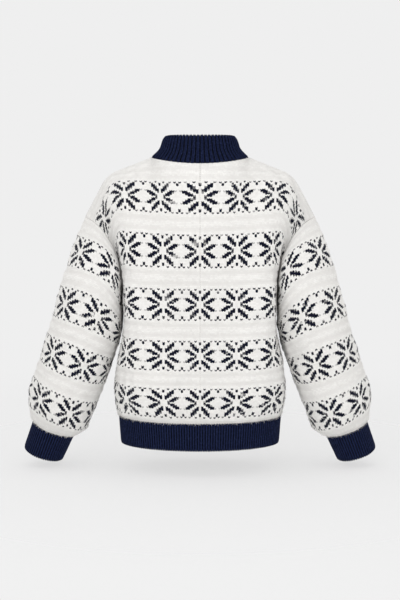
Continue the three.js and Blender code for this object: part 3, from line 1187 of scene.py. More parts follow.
        for j in range(len(rows) - 1):
            low, high = index[j], index[j + 1]
            near_rib = min(abs(j - edge) for edge in self.fringe_rows) < self.fringe_reach
            shag = self.fringe if near_rib else 1.0
            for i in range(spans):
                corners = [low[i], low[i + 1], high[i + 1], high[i]]
                if corners[0] == corners[3] and corners[1] == corners[2]:
                    continue
                uvs = [
                    (columns[i], rows[j, i]),
                    (columns[i + 1], rows[j, i + 1]),
                    (columns[i + 1], rows[j + 1, i + 1]),
                    (columns[i], rows[j + 1, i]),
                ]
                mesh.add_face([int(c) for c in corners], uvs, navy[j, i], tone[j, i], shag)
        self.add_inside(mesh, outer, rows, columns, normals, index)
        piece = mesh.write(self.name, self.mirrored)
        piece.data.materials.append(material)
        return piece

    def add_inside(
        self, mesh: ClothMesh, outer: Array, rows: Array, columns: Array, normals: Array, index: Array
    ) -> None:
        """Adds the inner face, in wide steps, and the edges that join it to the outer one.

        Args:
            mesh: The piece so far.
            outer: The outer points.
            rows: Their rows.
            columns: Their columns.
            normals: The form's outward directions.
            index: The number of the outer point at each row line and column.
        """
        picked = np.arange(0, len(columns), self.inner_step)
        if picked[-1] != len(columns) - 1:
            picked = np.append(picked, len(columns) - 1)
        steps = np.linspace(0, 1, self.inner_lines)
        inner_rows = steps[:, None] * self.line_rows[-1][None, :]
        points, direction = self.at_rows(inner_rows, normals)
        inner = (points - direction * self.wall)[:, picked]
        first = mesh.add_points(inner)
        wrap = np.arange(len(picked))
        if self.around:
            wrap[-1] = 0
        inside = first + np.arange(len(steps))[:, None] * len(picked) + wrap[None, :]
        for j in range(len(steps) - 1):
            for i in range(len(picked) - 1):
                corners = [inside[j, i], inside[j + 1, i], inside[j + 1, i + 1], inside[j, i + 1]]
                spots = [(j, i), (j + 1, i), (j + 1, i + 1), (j, i + 1)]
                uvs = [(columns[picked[b]], inner_rows[a, picked[b]]) for a, b in spots]
                mesh.add_face([int(c) for c in corners], uvs)
        for i in range(len(picked) - 1):
            span = range(picked[i], picked[i + 1] + 1)
            low = [int(index[0, k]) for k in span]
            high = [int(index[-1, k]) for k in span]
            rim = [int(inside[0, i]), int(inside[0, i + 1]), *reversed(low)]
            mesh.add_face(rim, [(columns[picked[i]], 0.0)] * len(rim))
            rim = [int(inside[-1, i + 1]), int(inside[-1, i]), *high]
            mesh.add_face(rim, [(columns[picked[i]], 1.0)] * len(rim))
        if not self.around:
            self.add_side(mesh, rows, columns, index, inner_rows, inside, 0)
            self.add_side(mesh, rows, columns, index, inner_rows, inside, -1)

    def add_side(
        self,
        mesh: ClothMesh,
        rows: Array,
        columns: Array,
        index: Array,
        inner_rows: Array,
        inside: Array,
        end: int,
    ) -> None:
        """Adds the edge along one side of the piece.

        Args:
            mesh: The piece so far.
            rows: The rows of the outer points.
            columns: Their columns.
            index: Their numbers.
            inner_rows: The rows of the inner points.
            inside: Their numbers.
            end: 0 for the first column, -1 for the last.
        """
        line, rows_here = index[:, end], rows[:, end]
        split = [int(np.argmin(np.abs(rows_here - r))) for r in inner_rows[:, end]]
        for j in range(len(split) - 1):
            edge = [int(line[k]) for k in range(split[j], split[j + 1] + 1)]
            pair = [int(inside[j, end]), int(inside[j + 1, end])]
            rim = [*pair, *reversed(edge)] if end == -1 else [*reversed(pair), *edge]
            mesh.add_face(rim, [(columns[end], inner_rows[j, end])] * len(rim))


# ---- Sub-assemblies -------------------------------------------------------------------------------
@dataclass
class BodyPanels:
    """The front, in one piece, and the two halves of the back."""

    armpit_row: float = 90
    row_height: float = 3.22  # above the underarm, in the middle
    shoulder_row_height: float = 3.32
    side_row_height: float = 2.6  # and at the armhole, where the cloth is eased in
    half_stitches: int = 54
    corner_softness: float = 9  # mm over which the corner of the neckline melts away below it
    corner_reach: float = 2.5  # how many times that the smoothing looks to each side
    edge_ease: tuple[float, float] = (2, 30)  # mm from an edge, where the smoothing starts and is whole
    top_ease: tuple[float, float] = (0, 150)  # mm across, from the middle's rows to the shoulder's
    side_ease: tuple[float, float] = (165, 230)  # mm across, from those to the armhole's
    spread_ease: tuple[float, float] = (60, 130)  # rows, from the lower spread to the upper
    away_from_top: float = 99.0  # mm, for places below the underarm, where the top edge has no say
    form_columns: int = 225
    # How the rows stand up to the underarm, pushed together where the cloth blouses.
    rows_up: tuple[tuple[float, float], ...] = ((0, 0), (0.167, 14), (0.522, 48), (0.911, 82), (1, 90))
    # Stitch by stitch from the middle, the share of the half width below and above the underarm.
    spread: tuple[tuple[float, float, float], ...] = (
        (0, 0, 0),
        (16, 0.297, 0.284),
        (32, 0.645, 0.572),
        (44, 0.855, 0.79),
        (54, 1, 1),
    )
    back_creases: tuple[Crease, ...] = (
        Crease(37, 66, 36, 116, width=13, height=-2.6, bow=4),
        Crease(36, 104, 22, 88, width=12, height=-1.6, bow=-3),
        Crease(34, 78, 20, 66, width=11, height=-1.3, bow=3),
        Crease(41, 128, 30, 140, width=12, height=-1.1, bow=3),
        Crease(9, 0, 10, 13, width=11, height=-1.0),
        Crease(17, 0, 15.5, 16, width=10, height=0.9),
        Crease(24, 0, 23, 10, width=9, height=-1.0),
        Crease(32, 0, 33, 17, width=12, height=-1.1),
        Crease(40, 0, 39, 12, width=10, height=1.0),
        Crease(47, 0, 47, 16, width=11, height=-1.1),
        Crease(46, 22, 30, 34, width=14, height=-1.6, bow=-4),
    )
    front_creases: tuple[Crease, ...] = (
        Crease(38, 64, 37, 118, width=13, height=-2.6, bow=4),
        Crease(-36, 68, -37, 114, width=13, height=-2.4, bow=-4),
        Crease(36, 106, 18, 84, width=13, height=-1.8, bow=-3),
        Crease(-35, 102, -21, 86, width=12, height=-1.7, bow=3),
        Crease(-33, 76, -17, 66, width=11, height=-1.4, bow=-3),
        Crease(40, 128, 28, 141, width=12, height=-1.1, bow=3),
        Crease(-41, 130, -30, 140, width=12, height=-1.7, bow=-3),
        Crease(8, 0, 9, 12, width=11, height=-1.0),
        Crease(-6, 0, -5, 15, width=10, height=0.9),
        Crease(-15, 0, -16, 13, width=10, height=-1.0),
        Crease(19, 0, 18, 16, width=10, height=0.9),
        Crease(-27, 0, -26, 17, width=11, height=-1.1),
        Crease(30, 0, 31, 14, width=11, height=-1.1),
        Crease(-39, 0, -38, 12, width=10, height=1.0),
        Crease(41, 0, 40, 13, width=10, height=1.0),
        Crease(47, 20, 30, 33, width=14, height=-1.6, bow=-4),
        Crease(-46, 24, -31, 36, width=14, height=-1.6, bow=4),
    )

    def soften(self, lines: Array, side_gap: Array) -> Array:
        """Melts the corner that the end of the neckline would send down the panel.

        Args:
            lines: Points by level and column, from the middle.
            side_gap: The distance of each point from the panel's edges.

        Returns:
            The points, smoothed across.
        """
        step = FORM.panel_half / (lines.shape[1] - 1)
        reach = int(self.corner_reach * self.corner_softness / step)
        offsets = np.arange(-reach, reach + 1)
        weights = np.exp(-((offsets * step / self.corner_softness) ** 2) / 2)
        weights /= weights.sum()
        mirrored = lines[:, reach:0:-1] * (-1, 1, 1)
        wide = np.concatenate([mirrored, lines, np.repeat(lines[:, -1:], reach, axis=1)], axis=1)
        smooth = sum(w * wide[:, k : k + lines.shape[1]] for k, w in enumerate(weights))
        return mix(lines, smooth, ease(side_gap, *self.edge_ease)[..., None])

    def half(self, side: Side) -> tuple[Array, Array, Array]:
        """Half a panel, from its middle to the side seam and armhole.

        Args:
            side: The back or the front.

        Returns:
            Its lines of points, the row of each point, and its columns.
        """
        across = np.linspace(0, FORM.panel_half, self.form_columns)
        lower = FORM.lower_panel(across, side)
        upper = FORM.upper_panel(across, side)
        run = lengths_along(upper)
        level = np.linspace(0, 1, len(lower))
        low_rows = smooth_table(np.array(self.rows_up, float), level) * np.ones(len(across))
        height = mix(self.row_height, self.shoulder_row_height, ease(across, *self.top_ease))
        height = mix(height, self.side_row_height, ease(across, *self.side_ease))
        rows = np.concatenate([low_rows, (self.armpit_row + run / height)[1:]])
        lines = np.concatenate([lower, upper[1:]])
        below = np.full((len(lower) - 1, len(across)), self.away_from_top)
        gap = np.concatenate([below, run[-1] - run])
        gap = np.minimum(gap, (FORM.panel_half - across)[None, :])
        lines = self.soften(lines, gap)

        columns = np.arange(0, self.half_stitches * COLUMNS_PER_STITCH + 1) / COLUMNS_PER_STITCH
        low, high = smooth_table(np.array(self.spread, float), columns).T
        above = ease(rows.mean(axis=1), *self.spread_ease)[:, None]
        places = mix(low[None, :], high[None, :], above) * (self.form_columns - 1)
        return slide(lines, places), slide(rows, places), columns

    def build(self, material: bpy.types.Material) -> list[bpy.types.Object]:
        """Knits the three panels.

        Args:
            material: Their yarn.

        Returns:
            The left half of the back, the right half and the front.
        """
        bands = StarBands(first_row=14)
        back, back_rows, columns = self.half(Side.BACK)
        common = {"bands": bands, "columns": columns, "lines": back, "line_rows": back_rows}
        made = [
            KnitPiece(name, seed=seed, mirrored=flip, creases=self.back_creases, **common).build(material)
            for name, seed, flip in (("back_half_left", 3, False), ("back_half_right", 4, True))
        ]
        half, half_rows, columns = self.half(Side.FRONT)
        flipped = half[:, :0:-1] * (-1, 1, 1)
        front = KnitPiece(
            "front_panel",
            bands=bands,
            seed=5,
            creases=self.front_creases,
            columns=np.concatenate([-columns[:0:-1], columns]),
            lines=np.concatenate([flipped, half], axis=1),
            line_rows=np.concatenate([half_rows[:, :0:-1], half_rows], axis=1),
        )
        made.append(front.build(material))
        return made


@dataclass
class Sleeve:
    """A full sleeve, from the armhole to the cuff."""

    rows: float = 144
    stitches: int = 100
    twist_top: float = 3.4  # stitches that the sleeve is turned by at the armhole
    twist_end: float = -2.7  # and at the cuff
    form_lines: int = 275  # rings of points that the form is read at
    creases: tuple[Crease, ...] = (
        Crease(6, 66, 24, 58, width=13, height=-2.6, bow=3),
        Crease(4, 84, 22, 78, width=14, height=-3.0, bow=4),
        Crease(8, 102, 27, 98, width=12, height=-2.2, bow=3),
        Crease(14, 30, 22, 50, width=13, height=-2.0, bow=-3),
        Crease(30, 118, 34, 138, width=11, height=-1.8),
        Crease(20, 122, 21, 142, width=11, height=-1.3),
        Crease(42, 124, 42, 142, width=10, height=-1.1),
        Crease(9, 124, 8, 142, width=11, height=-1.2),
        Crease(54, 122, 55, 142, width=11, height=-1.1),
        Crease(66, 120, 65, 142, width=11, height=-1.2),
        Crease(79, 124, 80, 142, width=11, height=-1.2),
        Crease(92, 122, 93, 142, width=11, height=-1.2),
        Crease(96, 64, 78, 56, width=13, height=-2.6, bow=-3),
        Crease(97, 86, 76, 80, width=14, height=-3.0, bow=-4),
        Crease(90, 104, 74, 100, width=12, height=-2.2, bow=-3),
        Crease(88, 30, 78, 50, width=13, height=-2.0, bow=3),
    )

    def build(self, material: bpy.types.Material) -> list[bpy.types.Object]:
        """Knits both sleeves.

        Args:
            material: Their yarn.

        Returns:
            The left sleeve and the right one.
        """
        columns = np.arange(0, self.stitches * COLUMNS_PER_STITCH + 1) / COLUMNS_PER_STITCH
        form_rows = np.linspace(0, SLEEVE_SECTIONS[-1].row, self.form_lines)
        rings = FORM.sleeve(form_rows, np.linspace(0, 1, len(columns)))
        share = form_rows / form_rows[-1]
        turned = columns[None, :] + mix(self.twist_top, self.twist_end, share)[:, None]
        lines = slide(rings, (turned % self.stitches) * COLUMNS_PER_STITCH)
        rows = (share * self.rows)[:, None] * np.ones(len(columns))
        bands = StarBands(first_row=23, first_column=5, bands=4)
        made = []
        for name, mirrored in (("sleeve_of_left_arm", False), ("sleeve_of_right_arm", True)):
            piece = KnitPiece(
                name,
                bands=bands,
                around=True,
                mirrored=mirrored,
                seed=7 + mirrored,
                fringe_rows=(self.rows - 1,),
                creases=self.creases,
                columns=columns,
                lines=lines,
                line_rows=rows,
            )
            made.append(piece.build(material))
        return made


@dataclass
class RibTree:
    """Geometry Nodes that raise ribs on a smooth band, each of two wales with a faint line between."""

    name: str = "ribs"
    sway_scale: float = 90.0  # how many times a metre the depth of the ribs rises and falls

    def build(self) -> bpy.types.NodeTree:
        """Makes the tree, whose inputs are the ribs' depth, unevenness, share of wales and yarn.

        Returns:
            The tree.
        """
        inputs = {
            "Rib depth": "Float",
            "Unevenness": "Float",
            "Wale share": "Float",
            "Yarn": "Material",
        }
        tree = blank_tree(self.name, inputs)
        given = add_node(tree, "NodeGroupInput")
        phase = add_node(
            tree, "GeometryNodeInputNamedAttribute", {"Name": "rib_phase"}, data_type="FLOAT"
        ).outputs[0]
        across = add_node(tree, MATH, {0: phase, 1: math.pi}, operation="MULTIPLY").outputs[0]
        wave = add_node(tree, MATH, {0: across}, operation="SINE").outputs[0]
        bare = add_node(tree, MATH, {0: wave}, operation="ABSOLUTE").outputs[0]
        swell = add_node(tree, MATH, {0: bare, 1: 0.8}, operation="POWER").outputs[0]
        twice = add_node(tree, MATH, {0: across, 1: 2.0}, operation="MULTIPLY").outputs[0]
        wales = add_node(tree, MATH, {0: twice}, operation="SINE").outputs[0]
        pair = add_node(tree, MATH, {0: wales}, operation="ABSOLUTE").outputs[0]
        ridge = add_node(
            tree, "ShaderNodeMix", {0: given.outputs["Wale share"], 2: swell, 3: pair}
        ).outputs[0]
        place = add_node(tree, "GeometryNodeInputPosition").outputs[0]
        noise = add_node(
            tree, "ShaderNodeTexNoise", {"Vector": place, "Scale": self.sway_scale, "Detail": 2.0}
        ).outputs[0]
        sway = add_node(tree, MATH, {0: noise, 1: 0.5}, operation="SUBTRACT").outputs[0]
        uneven = add_node(
            tree, MATH, {0: sway, 1: given.outputs["Unevenness"]}, operation="MULTIPLY"
        ).outputs[0]
        proud = add_node(tree, MATH, {0: ridge, 1: 0.6}, operation="SUBTRACT").outputs[0]
        height = add_node(
            tree, MATH, {0: proud, 1: given.outputs["Rib depth"], 2: uneven}, operation="MULTIPLY_ADD"
        ).outputs[0]
        normal = add_node(tree, "GeometryNodeInputNormal").outputs[0]
        offset = add_node(
            tree, "ShaderNodeVectorMath", {0: normal, "Scale": height}, operation="SCALE"
        ).outputs[0]
        kept = add_node(
            tree,
            "GeometryNodeStoreNamedAttribute",
            {"Geometry": given.outputs["Geometry"], "Name": "ridge", "Value": ridge},
            data_type="FLOAT",
            domain="POINT",
        ).outputs[0]
        moved = add_node(tree, "GeometryNodeSetPosition", {"Geometry": kept, "Offset": offset}).outputs[0]
        real = add_node(tree, "GeometryNodeRealizeInstances", {0: moved}).outputs[0]
        dressed = add_node(
            tree, "GeometryNodeSetMaterial", {"Geometry": real, "Material": given.outputs["Yarn"]}
        ).outputs[0]
        add_node(tree, "NodeGroupOutput", {0: dressed})
        return tree


def run_tree(
    piece: bpy.types.Object, tree: bpy.types.NodeTree, inputs: dict[str, object]
) -> bpy.types.Object:
    """Puts a piece through a Geometry Nodes tree and leaves it a plain mesh.

    Args:
        piece: The piece.
        tree: The tree.
        inputs: The tree's inputs by name.

    Returns:
        The same object, with the result as its mesh.
    """
    modifier = piece.modifiers.new(tree.name, "NODES")
    modifier.node_group = tree
    for item in tree.interface.items_tree:
        if item.in_out == "INPUT" and item.name in inputs:
            modifier[item.identifier] = inputs[item.name]
    graph = bpy.context.evaluated_depsgraph_get()
    made = bpy.data.meshes.new_from_object(
        piece.evaluated_get(graph), preserve_all_data_layers=True, depsgraph=graph
    )
    made.name = piece.name
    piece.modifiers.clear()
    piece.data = made
    return piece


@dataclass
class FibreTree:
    """Geometry Nodes that stand loose fibres all over the brushed face of a knit piece."""

    name: str = "brushed_fibres"
    lean: float = 1.15  # radians, the most that a fibre leans
    sides: int = 3

    def build(self) -> bpy.types.NodeTree:
        """Makes the tree, whose inputs are the fibres' number, size, seed and yarn.

        Returns:
            The tree.
        """
        inputs = {
            "Fibres per square metre": "Float",
            "Fibre length": "Float",
            "Fibre thickness": "Float",
            "Seed": "Int",
            "Yarn": "Material",
        }
        tree = blank_tree(self.name, inputs)
        given = add_node(tree, "NodeGroupInput").outputs
        outside = add_node(
            tree, "GeometryNodeInputNamedAttribute", {"Name": "outside"}, data_type="FLOAT"
        ).outputs[0]
        brushed = add_node(
            tree, MATH, {0: outside, 1: given["Fibres per square metre"]}, operation="MULTIPLY"
        ).outputs[0]
        roots = add_node(
            tree,
            "GeometryNodeDistributePointsOnFaces",
            {
                "Mesh": given["Geometry"],
                "Density": brushed,
                "Seed": given["Seed"],
            },
        ).outputs
        fibre = add_node(
            tree,
            "GeometryNodeMeshCone",
            {
                "Vertices": self.sides,
                "Radius Top": 0.0,
                "Radius Bottom": given["Fibre thickness"],
                "Depth": given["Fibre length"],
            },
            fill_type="NONE",
        ).outputs[0]
        limit = (self.lean, self.lean, math.pi)
        lean = add_node(
            tree,
            "FunctionNodeRandomValue",
            {0: tuple(-x for x in limit), 1: limit, "Seed": given["Seed"]},
            data_type="FLOAT_VECTOR",
        ).outputs[0]
        turned = add_node(
            tree,
            "FunctionNodeRotateRotation",
            {"Rotation": roots["Rotation"], "Rotate By": lean},
            rotation_space="LOCAL",
        ).outputs[0]
        uneven = add_node(
            tree, "FunctionNodeRandomValue", {2: 0.35, 3: 1.0, "Seed": given["Seed"]}, data_type="FLOAT"
        ).outputs[1]
        longer = add_node(
            tree, "ShaderNodeMapRange", {0: outside, 1: 1.0, 2: 3.0, 3: 1.0, 4: 1.6}
        ).outputs[0]
        size = add_node(tree, MATH, {0: uneven, 1: longer}, operation="MULTIPLY").outputs[0]
        stood = add_node(
            tree,
            "GeometryNodeInstanceOnPoints",
            {"Points": roots["Points"], "Instance": fibre, "Rotation": turned, "Scale": size},
        ).outputs[0]
        real = add_node(tree, "GeometryNodeRealizeInstances", {0: stood}).outputs[0]
        dressed = add_node(
            tree, "GeometryNodeSetMaterial", {"Geometry": real, "Material": given["Yarn"]}
        ).outputs[0]
        add_node(tree, "NodeGroupOutput", {0: dressed})
        return tree


@dataclass
class SeamTree:
    """Geometry Nodes that sew stitches of thread along a line."""

    name: str = "seam_stitches"
    sides: int = 5
    slant: float = 0.35  # radians that a stitch lies across the seam

    def build(self) -> bpy.types.NodeTree:
        """Makes the tree, whose inputs are the stitches' spacing and size, and the thread.

        Returns:
            The tree.
        """
        inputs = {
            "Stitch spacing": "Float",
            "Stitch length": "Float",
            "Thread radius": "Float",
            "Thread": "Material",
        }
        tree = blank_tree(self.name, inputs)
        given = add_node(tree, "NodeGroupInput").outputs
        line = add_node(tree, "GeometryNodeMeshToCurve", {0: given["Geometry"]}).outputs[0]
        holes = add_node(
            tree,
            "GeometryNodeResampleCurve",
            {"Curve": line, "Length": given["Stitch spacing"]},
            mode="LENGTH",
        ).outputs[0]
        stitch = add_node(
            tree,
            "GeometryNodeMeshCylinder",
            {"Vertices": self.sides, "Radius": given["Thread radius"], "Depth": given["Stitch length"]},
        ).outputs[0]
        along = add_node(tree, "GeometryNodeInputTangent").outputs[0]
        aimed = add_node(tree, "FunctionNodeAlignRotationToVector", {"Vector": along}, axis="Z").outputs[0]
        turned = add_node(
            tree,
            "FunctionNodeRotateRotation",
            {"Rotation": aimed, "Rotate By": (self.slant, self.slant, 0.0)},
            rotation_space="LOCAL",
        ).outputs[0]
        sewn = add_node(
            tree,
            "GeometryNodeInstanceOnPoints",
            {"Points": holes, "Instance": stitch, "Rotation": turned},
        ).outputs[0]
        real = add_node(tree, "GeometryNodeRealizeInstances", {0: sewn}).outputs[0]
        dressed = add_node(
            tree, "GeometryNodeSetMaterial", {"Geometry": real, "Material": given["Thread"]}
        ).outputs[0]
        add_node(tree, "NodeGroupOutput", {0: dressed})
        return tree


@dataclass
class Fleece:
    """The haze of loose fibres that brushing raised on a knit piece."""

    per_square_metre: float = 85000
    length: float = 4.6
    thickness: float = 0.17  # radius at the root, drawn thicker than a real fibre so that it shows

    def build(
        self, cloth: bpy.types.Object, tree: bpy.types.NodeTree, material: bpy.types.Material, seed: int
    ) -> bpy.types.Object:
        """Stands the fibres on a piece.

        Args:
            cloth: The knit piece.
            tree: The fibres' Geometry Nodes.
            material: The yarn, which gives a fibre the colour of the stitch it stands on.
            seed: Places the fibres.

        Returns:
            The fibres, as an object of their own.
        """
        name = f"fleece_of_{cloth.name}"
        haze = add_object(name, cloth.data.copy())
        haze.data.name = name
        inputs = {
            "Fibres per square metre": self.per_square_metre,
            "Fibre length": self.length * MM,
            "Fibre thickness": self.thickness * MM,
            "Seed": seed,
            "Yarn": material,
        }
        return run_tree(haze, tree, inputs)


@dataclass
class Seams:
    """The thread that joins the pieces: down the centre back, round the armholes, over the shoulders."""

    spacing: float = 4.4
    length: float = 3.6
    radius: float = 0.42
    sunk: float = 1.3  # how far the thread lies below the cloth's face
    armhole_span: tuple[float, float] = (0.02, 0.98)  # shares of the armhole's length that show
    armhole_points: int = 161
    shoulder_points: int = 60
    shoulder_margin: float = 3  # mm left bare at the neck and at the tip

    def paths(self) -> dict[str, Array]:
        """Works out where the seams run.

        Returns:
            The points of each seam's line on the form, by the seam's name.
        """
        middle = np.array([0.0])
        lower = FORM.lower_panel(middle, Side.BACK)[:, 0]
        upper = FORM.upper_panel(middle, Side.BACK)[:, 0]
        centre = np.concatenate([lower, upper[1:]])[2:-2] - (0, self.sunk, 0)
        armhole = FORM.armhole(np.linspace(*self.armhole_span, self.armhole_points))
        towards = armhole.mean(axis=0) - armhole
        armhole = armhole + towards / np.linalg.norm(towards, axis=1)[:, None] * self.sunk
        start, end = FORM.neck_panel + self.shoulder_margin, FORM.panel_half - self.shoulder_margin
        shoulder = FORM.panel_top(np.linspace(start, end, self.shoulder_points), Side.BACK)
        shoulder = shoulder - (0, 0, self.sunk)
        flip = (-1, 1, 1)
        return {
            "seam_of_centre_back": centre,
            "seam_of_left_armhole": armhole,
            "seam_of_right_armhole": armhole * flip,
            "seam_of_left_shoulder": shoulder,
            "seam_of_right_shoulder": shoulder * flip,
        }

    def build(self, tree: bpy.types.NodeTree, material: bpy.types.Material) -> dict[str, bpy.types.Object]:
        """Sews the seams.

        Args:
            tree: The stitches' Geometry Nodes.
            material: The thread.

        Returns:
            The seams by name.
        """
        made = {}
        for name, path in self.paths().items():
            mesh = bpy.data.meshes.new(name)
            mesh.from_pydata((path * MM).tolist(), [(k, k + 1) for k in range(len(path) - 1)], [])
            inputs = {
                "Stitch spacing": self.spacing * MM,
                "Stitch length": self.length * MM,
                "Thread radius": self.radius * MM,
                "Thread": material,
            }
            made[name] = run_tree(add_object(name, mesh), tree, inputs)
        return made


@dataclass
class RibBand:
    """A ribbed band: a tube with rounded edges, whose ribs run from edge to edge."""

    name: str
    ribs: int
    depth: float = 2.3
    wall: float = 3.0
    height_steps: int = 14
    steps_per_rib: int = 6
    mirrored: bool = False
    rows: float = 18
    unevenness: float = 0.8
    wale_share: float = 0.1  # how much of a rib's height belongs to its two wales
    scallop: float = 1.6  # how far each rib reaches past its neighbours' grooves at the sewn edge
    edge: float = 0.012  # share of the height over which an edge is rounded

    def build(
        self, lines: Array, tree: bpy.types.NodeTree, material: bpy.types.Material
    ) -> bpy.types.Object:
        """Makes the band on its form.

        Args:
            lines: Its outer points from edge to edge, by height and place round it, where the
                last place stands on the first.
            tree: The ribs.
            material: The yarn.

        Returns:
            The object.
        """
        turn = np.arange(self.ribs * self.steps_per_rib + 1) / (self.ribs * self.steps_per_rib)
        given = np.linspace(0, 1, lines.shape[1])
        heights = np.linspace(0, 1, lines.shape[0])
        levels = np.linspace(0, 1, self.height_steps)
        points = np.stack(
            [[np.interp(turn, given, lines[k, :, axis]) for axis in range(3)] for k in range(len(heights))]
        ).transpose(0, 2, 1)
        normals = grid_normals(points, around=True)
        centre = points.mean(axis=(0, 1))
        if ((points - centre) * normals).sum() < 0:
            normals = -normals
        lip = self.edge * 0.3
        profile = [(0.0, 0.5), (lip, 0.2), *[(v, 0.0) for v in levels[1:-1]]]
        profile += [(1 - lip, 0.2), (1.0, 0.5)]
        profile += [(1 - lip, 0.8), *[(v, 1.0) for v in levels[-2:0:-3]], (lip, 0.8)]
        mesh = ClothMesh()
        rings = []
        for height, depth in profile:
            base = self.between(points, heights, height)
            direction = self.between(normals, heights, height)
            reach = self.scallop * (1 - 2 * height) * (height in (0.0, 1.0) or depth not in (0.0, 1.0))
            ends = np.abs(np.sin(2 * math.pi * self.ribs * turn))[:, None] * (0, 0, -reach)
            rings.append(base - direction * depth * self.wall + ends)
        rings = np.stack(rings)[:, :-1]
        mesh.add_points(rings)
        count = rings.shape[1]
        for k in range(len(profile)):
            after = (k + 1) % len(profile)
            v0, v1 = profile[k][0] * self.rows, profile[after][0] * self.rows
            for i in range(count):
                j = (i + 1) % count
                corners = [k * count + i, k * count + j, after * count + j, after * count + i]
                u0, u1 = i / self.steps_per_rib, (i + 1) / self.steps_per_rib
                mesh.add_face(corners, [(u0, v0), (u1, v0), (u1, v1), (u0, v1)])
        piece = mesh.write(self.name, self.mirrored)
        phase = np.tile(np.arange(count) / self.steps_per_rib, len(profile))
        piece.data.attributes.new("rib_phase", "FLOAT", "POINT").data.foreach_set("value", phase)
        inputs = {
            "Rib depth": self.depth * MM,
            "Unevenness": self.unevenness * MM,
            "Wale share": self.wale_share,
            "Yarn": material,
        }
        return run_tree(piece, tree, inputs)

    @staticmethod
    def between(rings: Array, heights: Array, height: float) -> Array:
        """The ring at a height between given ones.

        Args:
            rings: The given rings.
            heights: Their heights, evenly spaced from 0 to 1.
            height: The height to read at.

        Returns:
            The ring.
        """
        at = np.clip(height, 0, 1) * (len(heights) - 1)
        low = min(int(at), len(heights) - 2)
        return mix(rings[low], rings[low + 1], at - low)


@dataclass
class HemBand:
    """The ribbed band round the hem."""

    depth: float = 56
    bottom: BodySection = BodySection(z=-598, half_width=167, depth=107, squareness=2)
    ribs: int = 166
    quarter_points: int = 90

    def ring(self, z: float) -> Array:
        """The band's outline at a height.

        Args:
            z: The height.

        Returns:
            Points right round, from the middle of the back.
        """
        shares = np.linspace(0, 1, self.quarter_points)
        table = columns_of((self.bottom, BODY_SECTIONS[0]))
        section = smooth_table(table, np.array([z]))[0]
        angle = np.linspace(0, math.pi / 2, FORM.samples)
        x = section[0] * np.sin(angle) ** (2 / section[2])
        y = section[1] * np.maximum(np.cos(angle), 0) ** (2 / section[2])
        quarter = resample(np.column_stack([x, y, np.full_like(x, z)]), shares)
        back = np.concatenate([quarter, (quarter * (1, -1, 1))[-2::-1]])
        return np.concatenate([back, (back * (-1, 1, 1))[-2::-1]])

    def build(self, tree: bpy.types.NodeTree, material: bpy.types.Material) -> bpy.types.Object:
        """Makes the hem band."""
        lines = np.stack([self.ring(z) for z in np.linspace(self.bottom.z, self.bottom.z + self.depth, 8)])
        return RibBand("hem_rib", ribs=self.ribs).build(lines, tree, material)


@dataclass
class Cuffs:
    """The ribbed cuffs."""

    ribs: int = 52
    ring_points: int = 241

    def build(self, tree: bpy.types.NodeTree, material: bpy.types.Material) -> list[bpy.types.Object]:
        """Makes both cuffs.

        Args:
            tree: The ribs.
            material: The yarn.

        Returns:
            The left cuff and the right one.
        """
        turn = np.linspace(0, 1, self.ring_points)
        top = FORM.sleeve(np.array([0.0, SLEEVE_SECTIONS[-1].row]), turn)[1]
        bottom = FORM.sleeve_ring(columns_of([CUFF_BOTTOM])[0, 1:], math.pi * (1 - 2 * turn))
        lines = np.stack([mix(bottom, top, share) for share in np.linspace(0, 1, 8)])
        return [
            RibBand(name, ribs=self.ribs, mirrored=mirrored).build(lines, tree, material)
            for name, mirrored in (("cuff_rib_left", False), ("cuff_rib_right", True))
        ]


@dataclass
class Collar:
    """The ribbed stand collar, flaring into the neckline."""

    ribs: int = 60
    ups: tuple[float, ...] = (0, 0.42, 0.88, 1)
    half_widths: tuple[float, ...] = (101, 84, 77, 73)
    backs: tuple[float, ...] = (62, 55, 52, 50)
    fronts: tuple[float, ...] = (80, 68, 62, 60)
    top_back: float = 46
    top_front: float = 26
    ring_points: int = 361

    def ring(self, up: float) -> Array:
        """The collar's outline at a share of its height.

        Args:
            up: The share.

        Returns:
            Points right round, from the middle of the back.
        """
        table = np.column_stack([self.ups, self.half_widths, self.backs, self.fronts])
        half_width, back, front = smooth_table(table, np.array([up]))[0]
        angle = np.linspace(0, 2 * math.pi, self.ring_points)
        at_back = np.cos(angle) >= 0
        base = np.where(at_back, FORM.neckline.back_z, FORM.neckline.front_z) * np.cos(angle) ** 2
        top = self.top_back - (self.top_back - self.top_front) * ((1 - np.cos(angle)) / 2) ** 2
        depth = np.where(at_back, back, front)
        return np.stack([half_width * np.sin(angle), depth * np.cos(angle), mix(base, top, up)], axis=-1)

    def build(self, tree: bpy.types.NodeTree, material: bpy.types.Material) -> bpy.types.Object:
        """Makes the collar.

        Args:
            tree: The ribs.
            material: The yarn.

        Returns:
            The object.
        """
        lines = np.stack([self.ring(up) for up in np.linspace(0, 1, 12)])
        band = RibBand("collar_rib", ribs=self.ribs, depth=3, steps_per_rib=10, rows=20, wale_share=0.33)
        return band.build(lines, tree, material)


# ---- Studio ---------------------------------------------------------------------------------------
@dataclass(frozen=True)
class Softbox:
    """A square soft light: its place and the length of its side in metres, and its power in watts."""

    name: str
    place: tuple[float, float, float]
    side: float
    power: float


